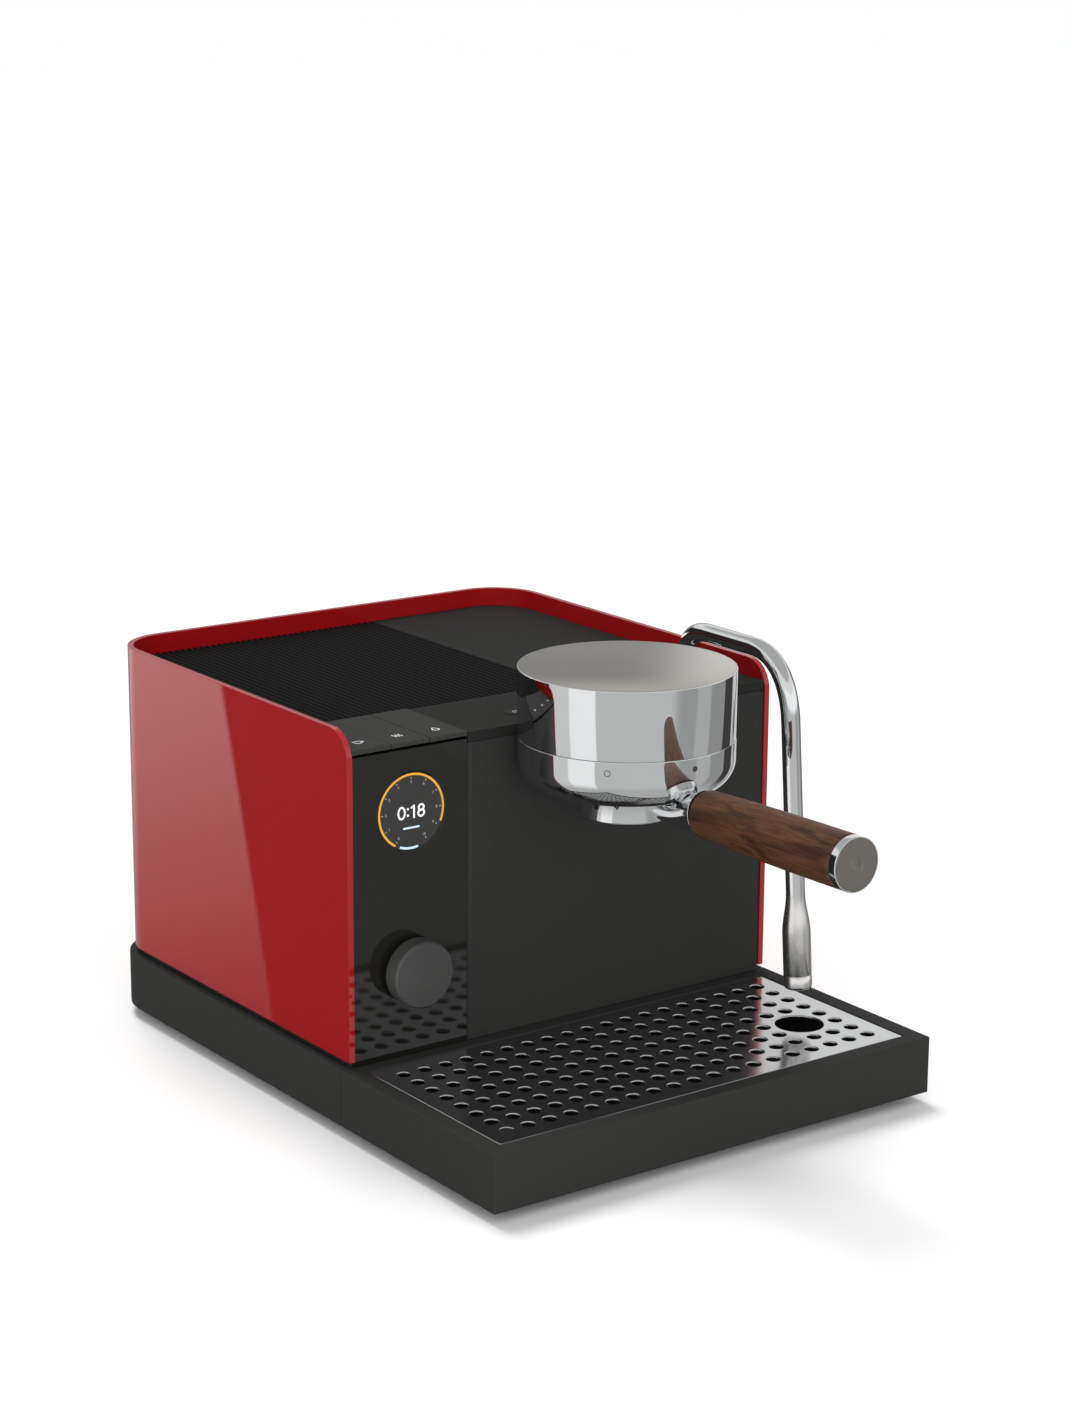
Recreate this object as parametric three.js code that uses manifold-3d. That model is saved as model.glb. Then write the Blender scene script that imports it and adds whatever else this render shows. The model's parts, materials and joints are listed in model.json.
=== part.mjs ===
// Compact single-group espresso machine: a red U-shaped housing on a charcoal base,
// a chrome brew group with a locking portafilter, a swivelling steam wand, three keys,
// a power button, a turn-and-press dial, a drip tray with grille and a lift-out water tank.
//
// Millimetres, +Z up, front towards -Y. Pieces are drawn in the machine's own frame:
// x = 0 on the centre line, y = 0 at the seam between drip tray and base, z = 0 at the
// underside of the base. The whole group then moves so that the origin is the centre of
// the footprint, at the bottom of the feet.

import * as THREE from 'three';
import { mergeVertices } from 'three/addons/utils/BufferGeometryUtils.js';
import Module from 'manifold-3d';

// ---------- driving dimensions ----------
const GAP = 0.3; // play between pieces that touch

// base and feet
const HALF_WIDTH = 157.5;
const BASE_TOP = 34.9;
const BASE_BACK = 280;
const BASE_CORNER = 40;
const WALL = 3;
const FOOT_HEIGHT = 7;
const FOOT_RADIUS = 13;
const TONGUE_HALF = 140;
const TONGUE_TOP = 2.5;

// drip tray and grille
const TRAY_FRONT = -154;
const GRILLE_HALF = 146;
const GRILLE_FRONT = -143.1;
const GRILLE_BACK = -12.2;
const GRILLE_TOP = 34.4;
const GRILLE_THICK = 1.9;
const HOLE_PITCH = 14.57;
const HOLE_RADIUS = 4.2;
const HOLE_COLUMNS = 19;
const HOLE_ROWS = 8;
const HOLE_MIDDLE_Y = -77;
const FINGER_RADIUS = 14.5;

// housing shell
const SHELL_HALF = 153.7;
const SHELL_THICK = 3.66;
const SHELL_FRONT = -4.15;
const SHELL_BACK = 275.6;
const SHELL_CORNER = 35;
const SHELL_BOTTOM = 38.75;
const SHELL_TOP = 234.4;
const SHELL_NOSE = 18;
const INNER_HALF = SHELL_HALF - SHELL_THICK - GAP;
const INNER_BACK = SHELL_BACK - SHELL_THICK - GAP;
const INNER_CORNER = SHELL_CORNER - SHELL_THICK - GAP;

// front and deck
const PANEL_FRONT = -3.1;
const PANEL_THICK = 3;
const PANEL_BOTTOM = 35.5;
const PANEL_SPLIT = -71.4;
const DISPLAY_PANEL_TOP = 218.9;
const FRONT_PANEL_TOP = 216.3;
const DECK_TOP = 222.6;
const DECK_THICK = 2.8;
const STRIP_BACK = 60.5;
const LID_LEFT = 41;

// keys, button and dial
const KEY_EDGES = [-INNER_HALF, -123.3, -97, -71.1];
const KEY_TOP = 223.4;
const KEY_THICK = 2.8;
const KEY_AXIS_Y = 58;
const KEY_AXIS_Z = 216.5;
const POWER_X = -20.5;
const POWER_Y = 20;
const POWER_RADIUS = 7.3;
const DISPLAY_X = -110;
const DISPLAY_Z = 182;
const DISPLAY_RADIUS = 23.6;
const DIAL_X = -110.5;
const DIAL_Z = 87.5;
const DIAL_RADIUS = 19.8;
const DIAL_FRONT = -18;
const DIAL_BACK = -6.3;

// brew group
const GROUP_X = 11.1;
const GROUP_Y = -45.6;
const GROUP_RADIUS = 63.6;
const GROUP_WALL = 2.4;
const GROUP_TOP = 259.4;
const GROUP_SEAM = 218.7;
const SKIRT_BOTTOM = 188.4;
const SKIRT_ROUND = 18;
const SKIRT_HOLE = 38;
const NECK_LEFT = -15;
const NECK_RIGHT = 37;

// portafilter and handle, measured outward from the group axis
const POT_BOTTOM = 171.5;
const POT_RADIUS = 28.5;
const POT_COLLAR = 36.2;
const LUG_RADIUS = 40;
const HANDLE_Z = 187.1;
const HANDLE_TILT = THREE.MathUtils.degToRad(1);
const GRIP_START = 74.7;
const GRIP_END = 195.9;
const HANDLE_END = 200.9;
const GRIP_RADIUS_IN = 13.9;
const GRIP_RADIUS_OUT = 15.5;

// steam wand
const WAND_X = 118;
const WAND_ROOT_Y = 33.2;
const WAND_RADIUS = 5.45;
const WAND_LEVEL = 254.7;
const WAND_ROOT_Z = 206;
const TIP_RADIUS = 8.7;

// water tank
const TANK = { left: 46, right: 146, front: 66, back: 258, bottom: 46, top: 217.5 };
const TANK_WALL = 2.2;
const VALVE_X = 96;
const VALVE_Y = 210;

// ---------- materials ----------
const LOOKS = {
  red: [0x9d1f22, 0.22, 0.0],
  charcoal: [0x2c2c2c, 0.55, 0.0],
  gloss_black: [0x161616, 0.12, 0.0],
  satin_grey: [0xb4aea6, 0.35, 0.6],
  chrome: [0xe6e6e6, 0.05, 1.0],
  steel: [0xb9b9b9, 0.25, 1.0],
  aluminium: [0xa9abad, 0.4, 1.0],
  brass: [0xb58d3d, 0.3, 1.0],
  walnut: [0x6b4029, 0.5, 0.0],
  rubber: [0x141414, 0.85, 0.0],
  silicone: [0xd8d8d0, 0.6, 0.0],
  clear: [0xcfd8dc, 0.1, 0.0],
  board: [0x1f5a34, 0.6, 0.0],
};

function material(look) {
  const [color, roughness, metalness] = LOOKS[look];
  return new THREE.MeshStandardMaterial({ color, roughness, metalness });
}

// ---------- solids and booleans ----------
const wasm = await Module();
wasm.setup();

// Merged, outward-facing copy of a closed geometry.
function closed(source) {
  const bare = source.clone();
  bare.deleteAttribute('normal');
  bare.deleteAttribute('uv');
  const merged = mergeVertices(bare, 1e-4);
  const corner = [new THREE.Vector3(), new THREE.Vector3(), new THREE.Vector3()];
  const index = Array.from(merged.index.array);
  const kept = [];
  let volume = 0;
  for (let i = 0; i < index.length; i += 3) {
    const [a, b, c] = index.slice(i, i + 3);
    if (a === b || b === c || c === a) continue;
    corner.forEach((v, k) => v.fromBufferAttribute(merged.attributes.position, index[i + k]));
    volume += corner[0].dot(corner[1].clone().cross(corner[2]));
    kept.push(a, b, c);
  }
  if (volume < 0) kept.reverse();
  merged.setIndex(kept);
  return merged;
}

function toManifold(geometry) {
  const merged = closed(geometry);
  return new wasm.Manifold(new wasm.Mesh({
    numProp: 3,
    vertProperties: Float32Array.from(merged.attributes.position.array),
    triVerts: Uint32Array.from(merged.index.array),
  }));
}

function toGeometry(manifold) {
  const mesh = manifold.getMesh();
  const geometry = new THREE.BufferGeometry();
  geometry.setAttribute('position', new THREE.BufferAttribute(mesh.vertProperties, 3));
  geometry.setIndex(Array.from(mesh.triVerts));
  return geometry;
}

function join(...pieces) {
  return toGeometry(pieces.map(toManifold).reduce((sum, piece) => sum.add(piece)));
}

function cut(body, ...tools) {
  return toGeometry(tools.map(toManifold).reduce((sum, tool) => sum.subtract(tool), toManifold(body)));
}

function common(a, b) {
  return toGeometry(toManifold(a).intersect(toManifold(b)));
}

// ---------- basic shapes ----------
function box(x0, x1, y0, y1, z0, z1) {
  const geometry = new THREE.BoxGeometry(x1 - x0, y1 - y0, z1 - z0);
  return geometry.translate((x0 + x1) / 2, (y0 + y1) / 2, (z0 + z1) / 2);
}

// Upright cylinder.
function post(x, y, z0, z1, radius, sides = 16) {
  const geometry = new THREE.CylinderGeometry(radius, radius, z1 - z0, sides);
  return geometry.rotateX(Math.PI / 2).translate(x, y, (z0 + z1) / 2);
}

// Cylinder along Y.
function rodY(x, z, y0, y1, radius, sides = 16) {
  const geometry = new THREE.CylinderGeometry(radius, radius, y1 - y0, sides);
  return geometry.translate(x, (y0 + y1) / 2, z);
}

// Cylinder along X.
function rodX(y, z, x0, x1, radius, sides = 12) {
  const geometry = new THREE.CylinderGeometry(radius, radius, x1 - x0, sides);
  return geometry.rotateZ(Math.PI / 2).translate((x0 + x1) / 2, y, z);
}

// Solid of revolution about a vertical axis; profile is [radius, z] pairs.
function turned(x, y, profile, sides = 32) {
  const outline = profile.map(([r, z]) => new THREE.Vector2(r, z));
  return new THREE.LatheGeometry(outline, sides).rotateX(Math.PI / 2).translate(x, y, 0);
}

function prismZ(shape, z0, z1, segments = 8) {
  const options = { depth: z1 - z0, bevelEnabled: false, curveSegments: segments };
  return new THREE.ExtrudeGeometry(shape, options).translate(0, 0, z0);
}

// Side profile in (y, z), extruded across the width.
function prismX(shape, x0, x1, segments = 8) {
  const options = { depth: x1 - x0, bevelEnabled: false, curveSegments: segments };
  const turn = new THREE.Matrix4().makeBasis(
    new THREE.Vector3(0, 1, 0), new THREE.Vector3(0, 0, 1), new THREE.Vector3(1, 0, 0));
  return new THREE.ExtrudeGeometry(shape, options).applyMatrix4(turn).translate(x0, 0, 0);
}

// Plan outline with square front corners and round back corners.
function planOutline(half, front, back, radius) {
  const shape = new THREE.Shape();
  shape.moveTo(-half, front);
  shape.lineTo(half, front);
  shape.lineTo(half, back - radius);
  shape.absarc(half - radius, back - radius, radius, 0, Math.PI / 2, false);
  shape.lineTo(-half + radius, back);
  shape.absarc(-half + radius, back - radius, radius, Math.PI / 2, Math.PI, false);
  shape.closePath();
  return shape;
}

function roundedRectangle(x0, x1, y0, y1, radius) {
  const shape = new THREE.Shape();
  shape.moveTo(x0 + radius, y0);
  shape.lineTo(x1 - radius, y0);
  shape.absarc(x1 - radius, y0 + radius, radius, -Math.PI / 2, 0, false);
  shape.lineTo(x1, y1 - radius);
  shape.absarc(x1 - radius, y1 - radius, radius, 0, Math.PI / 2, false);
  shape.lineTo(x0 + radius, y1);
  shape.absarc(x0 + radius, y1 - radius, radius, Math.PI / 2, Math.PI, false);
  shape.lineTo(x0, y0 + radius);
  shape.absarc(x0 + radius, y0 + radius, radius, Math.PI, 1.5 * Math.PI, false);
  return shape;
}

// Round tube along a curve, with closed ends.
function tube(curve, radius, steps, sides = 8) {
  const section = new THREE.Shape();
  for (let i = 0; i < sides; i += 1) {
    const angle = (2 * Math.PI * i) / sides;
    const x = radius * Math.cos(angle);
    const y = radius * Math.sin(angle);
    if (i === 0) section.moveTo(x, y);
    else section.lineTo(x, y);
  }
  section.closePath();
  return new THREE.ExtrudeGeometry(section, { steps, extrudePath: curve, bevelEnabled: false });
}

function hose(points, radius = 3, steps = 14, sides = 6) {
  const route = points.map(([x, y, z]) => new THREE.Vector3(x, y, z));
  return tube(new THREE.CatmullRomCurve3(route, false, 'centripetal'), radius, steps, sides);
}

// Skin over round sections that follow a path in the plane x = 0; each is { y, z, radius }.
function loftedRod(sections, sides = 16) {
  const points = [];
  const faces = [];
  sections.forEach(({ y, z, radius }, i) => {
    const before = sections[Math.max(i - 1, 0)];
    const after = sections[Math.min(i + 1, sections.length - 1)];
    const along = new THREE.Vector2(after.y - before.y, after.z - before.z).normalize();
    for (let k = 0; k < sides; k += 1) {
      const angle = (2 * Math.PI * k) / sides;
      const lift = radius * Math.sin(angle);
      points.push(radius * Math.cos(angle), y - along.y * lift, z + along.x * lift);
    }
  });
  for (let i = 0; i + 1 < sections.length; i += 1) {
    for (let k = 0; k < sides; k += 1) {
      const a = i * sides + k;
      const b = i * sides + ((k + 1) % sides);
      faces.push(a, b, a + sides, b, b + sides, a + sides);
    }
  }
  const last = (sections.length - 1) * sides;
  for (let k = 1; k + 1 < sides; k += 1) {
    faces.push(0, k + 1, k, last, last + k, last + k + 1);
  }
  const geometry = new THREE.BufferGeometry();
  geometry.setAttribute('position', new THREE.Float32BufferAttribute(points, 3));
  geometry.setIndex(faces);
  return geometry;
}

// ---------- assembly ----------
const machine = new THREE.Group();
machine.name = 'espresso_machine';

function add(name, look, geometry, parent = machine) {
  const mesh = new THREE.Mesh(closed(geometry), material(look));
  mesh.name = name;
  parent.add(mesh);
  return mesh;
}

// ---------- base, feet and tray ----------
function baseFrame() {
  const front = 0.2;
  const outer = prismZ(planOutline(HALF_WIDTH, front, BASE_BACK, BASE_CORNER), 0, BASE_TOP);
  const room = planOutline(HALF_WIDTH - WALL, front + WALL, BASE_BACK - WALL, BASE_CORNER - WALL);
  const mouth = planOutline(INNER_HALF - 4, front + WALL, INNER_BACK - 4, INNER_CORNER - 4);
  const plinth = planOutline(INNER_HALF, front, INNER_BACK, INNER_CORNER);
  const tongue = box(-TONGUE_HALF, TONGUE_HALF, -146, front + 1, 0, TONGUE_TOP);
  const rimZ = BASE_TOP - WALL;
  const shell = cut(outer, prismZ(room, WALL, rimZ));
  const raised = join(shell, prismZ(plinth, rimZ, BASE_TOP + 9), tongue);
  return cut(raised, prismZ(mouth, rimZ - 1, BASE_TOP + 10));
}

function foot() {
  const profile = [
    [0, -FOOT_HEIGHT], [FOOT_RADIUS - 1.5, -FOOT_HEIGHT], [FOOT_RADIUS, -FOOT_HEIGHT + 1.5],
    [FOOT_RADIUS - 2, -GAP], [0, -GAP],
  ];
  return turned(0, 0, profile, 16);
}

function dripTray() {
  const outer = box(-HALF_WIDTH, HALF_WIDTH, TRAY_FRONT, -0.1, 0, BASE_TOP);
  const seatZ = GRILLE_TOP - GRILLE_THICK - GAP;
  const seat = box(-GRILLE_HALF - GAP, GRILLE_HALF + GAP, GRILLE_FRONT - GAP, GRILLE_BACK + GAP, seatZ, BASE_TOP + 1);
  const basin = box(-GRILLE_HALF + 4, GRILLE_HALF - 4, GRILLE_FRONT + 4, GRILLE_BACK - 4, 6, BASE_TOP + 1);
  const below = box(-HALF_WIDTH + WALL, HALF_WIDTH - WALL, TRAY_FRONT + WALL, 1, -1, TONGUE_TOP + GAP);
  const sides = [-1, 1].map((side) => {
    const inner = side * (GRILLE_HALF - 1.5);
    const outerX = side * (HALF_WIDTH - WALL);
    return box(Math.min(inner, outerX), Math.max(inner, outerX), TRAY_FRONT + WALL, -8, -1, 29);
  });
  const front = box(-GRILLE_HALF, GRILLE_HALF, TRAY_FRONT + WALL, GRILLE_FRONT + 1.5, -1, 29);
  return cut(outer, seat, basin, below, ...sides, front);
}

// Hole centres of the grille, leaving out the four that the finger hole replaces.
function holeCentres() {
  const centres = [];
  for (let column = 0; column < HOLE_COLUMNS; column += 1) {
    for (let row = 0; row < HOLE_ROWS; row += 1) {
      const byFinger = (column === 16 || column === 17) && (row === 4 || row === 5);
      if (byFinger) continue;
      centres.push([
        (column - (HOLE_COLUMNS - 1) / 2) * HOLE_PITCH,
        HOLE_MIDDLE_Y + ((HOLE_ROWS - 1) / 2 - row) * HOLE_PITCH,
      ]);
    }
  }
  return centres;
}

const FINGER_X = 7.5 * HOLE_PITCH;
const FINGER_Y = HOLE_MIDDLE_Y - HOLE_PITCH;
const PLUG_X = -((HOLE_COLUMNS - 1) / 2) * HOLE_PITCH;
const PLUG_Y = HOLE_MIDDLE_Y - ((HOLE_ROWS - 1) / 2) * HOLE_PITCH;

function dripGrille() {
  const plate = new THREE.Shape();
  plate.moveTo(-GRILLE_HALF, GRILLE_FRONT);
  plate.lineTo(GRILLE_HALF, GRILLE_FRONT);
  plate.lineTo(GRILLE_HALF, GRILLE_BACK);
  plate.lineTo(-GRILLE_HALF, GRILLE_BACK);
  plate.closePath();
  for (const [x, y] of holeCentres()) {
    const hole = new THREE.Path();
    for (let k = 0; k < 6; k += 1) {
      const angle = (k * Math.PI) / 3;
      const point = [x + HOLE_RADIUS * Math.cos(angle), y + HOLE_RADIUS * Math.sin(angle)];
      if (k === 0) hole.moveTo(...point);
      else hole.lineTo(...point);
    }
    hole.closePath();
    plate.holes.push(hole);
  }
  const slab = prismZ(plate, GRILLE_TOP - GRILLE_THICK, GRILLE_TOP);
  return cut(slab, post(FINGER_X, FINGER_Y, GRILLE_TOP - 5, GRILLE_TOP + 5, FINGER_RADIUS, 20));
}

// ---------- housing, panels and deck ----------
function housingShell() {
  const outer = planOutline(SHELL_HALF, SHELL_FRONT, SHELL_BACK, SHELL_CORNER);
  const inner = planOutline(SHELL_HALF - SHELL_THICK, SHELL_FRONT - 1,
    SHELL_BACK - SHELL_THICK, SHELL_CORNER - SHELL_THICK);
  const wall = cut(prismZ(outer, SHELL_BOTTOM, SHELL_TOP), prismZ(inner, SHELL_BOTTOM - 1, SHELL_TOP + 1));
  const side = new THREE.Shape();
  side.moveTo(SHELL_FRONT, SHELL_BOTTOM);
  side.lineTo(SHELL_BACK + 1, SHELL_BOTTOM);
  side.lineTo(SHELL_BACK + 1, SHELL_TOP);
  side.lineTo(SHELL_FRONT + SHELL_NOSE, SHELL_TOP);
  side.absarc(SHELL_FRONT + SHELL_NOSE, SHELL_TOP - SHELL_NOSE, SHELL_NOSE, Math.PI / 2, Math.PI, false);
  side.closePath();
  const nosed = common(wall, prismX(side, -SHELL_HALF - 1, SHELL_HALF + 1));
  const vents = [];
  for (let row = 0; row < 7; row += 1) {
    const z = 150 + 8 * row;
    vents.push(box(-95, -25, INNER_BACK - 3, SHELL_BACK + 3, z, z + 3));
  }
  const inlet = box(-105.3, -74.7, INNER_BACK - 3, SHELL_BACK + 3, 59.7, 84.3);
  return cut(nosed, ...vents, inlet);
}

// Outer form of the skirt, grown by a clearance; also cuts the pieces around it.
function skirtForm(clearance) {
  const radius = GROUP_RADIUS + clearance;
  const bottom = SKIRT_BOTTOM - clearance;
  const round = SKIRT_ROUND + clearance;
  const profile = [[0, bottom]];
  for (let k = 0; k <= 5; k += 1) {
    const angle = (k / 5) * (Math.PI / 2);
    profile.push([radius - round + round * Math.sin(angle), bottom + round - round * Math.cos(angle)]);
  }
  profile.push([radius, GROUP_TOP + 10], [0, GROUP_TOP + 10]);
  return turned(GROUP_X, GROUP_Y, profile);
}

function frontPanel() {
  const slab = box(PANEL_SPLIT + GAP, INNER_HALF, PANEL_FRONT, PANEL_FRONT + PANEL_THICK, PANEL_BOTTOM, FRONT_PANEL_TOP);
  return cut(slab, skirtForm(0.4));
}

function displayPanel() {
  const back = PANEL_FRONT + PANEL_THICK;
  const slab = box(-INNER_HALF, PANEL_SPLIT, PANEL_FRONT, back, PANEL_BOTTOM, DISPLAY_PANEL_TOP);
  const window = rodY(DISPLAY_X, DISPLAY_Z, PANEL_FRONT - 1, back + 1, DISPLAY_RADIUS + GAP, 32);
  const shaftHole = rodY(DIAL_X, DIAL_Z, PANEL_FRONT - 1, back + 1, 5, 16);
  return cut(slab, window, shaftHole);
}

function displayBoard() {
  const module = box(DISPLAY_X - 27, DISPLAY_X + 27, 0.2, 5, DISPLAY_Z - 27, DISPLAY_Z + 27);
  return join(module, box(-146, -76, 4.5, 6.5, 145, 208));
}

function deckStrip() {
  const left = PANEL_SPLIT + 0.7;
  const plate = box(left, INNER_HALF, PANEL_FRONT, STRIP_BACK, DECK_TOP - DECK_THICK, DECK_TOP);
  const lip = box(left, INNER_HALF, PANEL_FRONT, PANEL_FRONT + PANEL_THICK, FRONT_PANEL_TOP + GAP, DECK_TOP);
  return cut(
    join(plate, lip),
    skirtForm(0.4),
    post(POWER_X, POWER_Y, DECK_TOP - 9, DECK_TOP + 9, POWER_RADIUS + GAP, 20),
    post(WAND_X, WAND_ROOT_Y, DECK_TOP - 9, DECK_TOP + 9, 8.8, 16),
  );
}

// Rear deck area: the ribbed cup plate on the left, the tank lid's plate on the right.
function rearDeck(x0, x1) {
  const area = prismZ(planOutline(INNER_HALF, STRIP_BACK + 0.5, INNER_BACK, INNER_CORNER),
    DECK_TOP - DECK_THICK, DECK_TOP);
  return common(area, box(x0, x1, 0, 300, 200, 240));
}

function warmingPlate() {
  const grooves = [];
  for (let x = -144; x < LID_LEFT - 6; x += 9.2) {
    grooves.push(box(x, x + 4.6, STRIP_BACK + 4, INNER_BACK - 14, DECK_TOP - 1, DECK_TOP + 1));
  }
  return cut(rearDeck(-INNER_HALF, LID_LEFT - GAP), ...grooves);
}

function innerFrame() {
  const frontSheet = box(-66, 110, 8, 10, 3.3, 210);
  const divider = box(40.8, 42.8, 8, 262, 3.3, 210);
  const neckNotch = box(NECK_LEFT - 1, NECK_RIGHT + 1, 0, 20, 194, 212);
  const pipeNotch = box(40, 44, 48, 70, 196, 212);
  const portHole = rodX(128, 30, 40, 44, 4);
  return cut(join(frontSheet, divider), neckNotch, pipeNotch, portHole, skirtForm(0.6));
}

// ---------- keys, button, dial ----------
function key(x0, x1) {
  const slab = box(x0, x1, PANEL_FRONT + 0.1, STRIP_BACK, KEY_TOP - KEY_THICK, KEY_TOP);
  const ear = box(x0 + 5, x0 + 9, KEY_AXIS_Y - 2.6, STRIP_BACK, KEY_AXIS_Z - 2.6, KEY_TOP - 1);
  const pusher = box((x0 + x1) / 2 - 2, (x0 + x1) / 2 + 2, 14, 18, KEY_TOP - KEY_THICK - 1.5, KEY_TOP - 1);
  const bore = rodX(KEY_AXIS_Y, KEY_AXIS_Z, x0, x1, 1.5, 12);
  return cut(join(slab, ear, pusher), bore);
}

function keySwitchBoard() {
  const pieces = [box(-148, -72, 4, 52, 211, 212.6)];
  for (let i = 0; i < 3; i += 1) {
    const x = (KEY_EDGES[i] + KEY_EDGES[i + 1]) / 2;
    pieces.push(box(x - 3, x + 3, 12, 20, 212, 217.6));
  }
  return join(...pieces);
}

function keyPivotRod() {
  const rod = rodX(KEY_AXIS_Y, KEY_AXIS_Z, -INNER_HALF + 1, -66, 1.2, 12);
  return join(rod, box(-69, -66, KEY_AXIS_Y - 4, KEY_AXIS_Y + 4, 205, 219));
}

function powerButton() {
  const cap = post(POWER_X, POWER_Y, DECK_TOP - 4, DECK_TOP + 0.6, POWER_RADIUS, 20);
  return join(cap, post(POWER_X, POWER_Y, DECK_TOP - 8, DECK_TOP - 3, 2.5, 10));
}

function dialKnob() {
  const profile = [
    [0, DIAL_FRONT], [DIAL_RADIUS - 1.2, DIAL_FRONT], [DIAL_RADIUS, DIAL_FRONT + 1.2],
    [DIAL_RADIUS, DIAL_BACK], [15, DIAL_BACK], [15, DIAL_BACK + 1.7], [0, DIAL_BACK + 1.7],
  ];
  const outline = profile.map(([r, y]) => new THREE.Vector2(r, y));
  const body = new THREE.LatheGeometry(outline, 32).translate(DIAL_X, 0, DIAL_Z);
  return cut(body, rodY(DIAL_X, DIAL_Z, DIAL_FRONT + 3, 0, 3.3, 12));
}

function encoder() {
  const body = box(DIAL_X - 7, DIAL_X + 7, 0.2, 15, DIAL_Z - 7, DIAL_Z + 7);
  return cut(body, rodY(DIAL_X, DIAL_Z, -1, 12, 4.6, 12));
}

// ---------- brew group ----------
function groupSleeve() {
  const inner = GROUP_RADIUS - GROUP_WALL;
  const low = GROUP_SEAM + 0.2;
  const profile = [
    [inner, low], [GROUP_RADIUS, low], [GROUP_RADIUS, GROUP_TOP - 0.9],
    [GROUP_RADIUS - 0.8, GROUP_TOP - 0.1], [inner, GROUP_TOP - 0.1], [inner, low],
  ];
  return turned(GROUP_X, GROUP_Y, profile);
}

function groupSkirt() {
  const wallIn = GROUP_RADIUS - GROUP_WALL;
  const cavity = turned(GROUP_X, GROUP_Y, [
    [0, SKIRT_BOTTOM + 2], [GROUP_RADIUS - SKIRT_ROUND, SKIRT_BOTTOM + 2], [57.6, SKIRT_BOTTOM + 8],
    [wallIn, SKIRT_BOTTOM + SKIRT_ROUND], [wallIn, GROUP_TOP + 12], [0, GROUP_TOP + 12],
  ]);
  return cut(
    skirtForm(0),
    cavity,
    post(GROUP_X, GROUP_Y, SKIRT_BOTTOM - 2, SKIRT_BOTTOM + 4, SKIRT_HOLE, 32),
    box(-100, 120, -140, 60, GROUP_SEAM - 0.2, GROUP_TOP + 20),
    box(NECK_LEFT - 1, NECK_RIGHT + 1, 0, 40, 195, 215),
  );
}

// Aluminium group casting: bayonet flange below, gasket seat, heater well above, neck behind.
function groupBody() {
  const profile = [
    [37.3, 190.8], [45, 190.8], [50, 194], [50, 240], [40, 240], [40, 222], [0, 222],
    [0, 208], [36.6, 208], [36.6, 204], [41.3, 204], [41.3, 192.6], [37.3, 192.6], [37.3, 190.8],
  ];
  const casting = turned(GROUP_X, GROUP_Y, profile);
  const neck = cut(
    box(NECK_LEFT, NECK_RIGHT, -30, 60, 196, 214),
    post(GROUP_X, GROUP_Y, 190, 220, 45, 32),
  );
  const lugSlots = [-47, 133].map((degrees) => {
    const slot = box(0, 43, -15, 15, 189, 193);
    return slot.rotateZ(THREE.MathUtils.degToRad(degrees)).translate(GROUP_X, GROUP_Y, 0);
  });
  const entry = cut(join(...lugSlots), turned(GROUP_X, GROUP_Y, [
    [41.3, 180], [60, 180], [60, 200], [41.3, 200], [41.3, 180]]));
  return cut(join(casting, neck), entry);
}

function showerScreen() {
  return turned(GROUP_X, GROUP_Y, [
    [0, 203], [25, 203], [29.3, 204], [29.3, 207.6], [27.5, 207.6], [27.5, 205.2], [0, 205.2]], 24);
}

function groupGasket() {
  return turned(GROUP_X, GROUP_Y, [[30, 202], [36.2, 202], [36.2, 207.6], [30, 207.6], [30, 202]], 24);
}

// ---------- portafilter ----------
// Height of the handle's axis at a distance from the group axis.
function handleZ(distance) {
  return HANDLE_Z + distance * Math.sin(HANDLE_TILT);
}

function portafilterBody() {
  const pot = turned(0, 0, [
    [0, POT_BOTTOM], [POT_RADIUS - 1, POT_BOTTOM], [POT_RADIUS, POT_BOTTOM + 1], [POT_RADIUS, 187],
    [POT_COLLAR, 187.6], [POT_COLLAR, 199.4], [31.9, 199.4], [31.9, 189], [26, 184], [26, 174], [0, 174]], 24);
  const lugs = [-1, 1].map((side) => {
    const bar = box(Math.min(side * 33, side * LUG_RADIUS), Math.max(side * 33, side * LUG_RADIUS), -12, 12, 193, 196.5);
    return common(bar, post(0, 0, 190, 200, LUG_RADIUS, 24));
  });
  const neck = loftedRod([
    { y: -22, z: 180.5, radius: 6 }, { y: -36, z: 179.6, radius: 6.6 }, { y: -48, z: 179.8, radius: 7.4 },
    { y: -57, z: 181.8, radius: 8.8 }, { y: -65, z: 185.2, radius: 11.2 },
    { y: -71, z: handleZ(71), radius: 13.2 }, { y: -GRIP_START + GAP, z: handleZ(GRIP_START), radius: 13.6 },
  ]);
  const room = turned(0, 0, [[0, 174], [26, 174], [26, 184], [31.9, 189], [31.9, 200], [0, 200]], 24);
  const outlets = [-10, 10].map((x) => post(x, 0, 160, 180, 3, 8));
  return cut(join(pot, ...lugs, neck), room, ...outlets);
}

function filterBasket() {
  return turned(0, 0, [
    [0, 176], [24.6, 176], [25.4, 177], [25.4, 183.6], [31.3, 188.9], [31.3, 199.8], [35.6, 199.8], [35.6, 201.2],
    [30.2, 201.2], [30.2, 189.4], [24.4, 184], [24.4, 177.2], [0, 177.2]], 24);
}

// Turned piece of the handle, from its profile of [distance, radius] along the handle axis.
function onHandle(profile, sides = 24) {
  const points = profile.map(([distance, radius]) => new THREE.Vector2(radius, -distance));
  const geometry = new THREE.LatheGeometry(points, sides);
  return geometry.rotateX(-HANDLE_TILT).translate(0, 0, HANDLE_Z);
}

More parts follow.
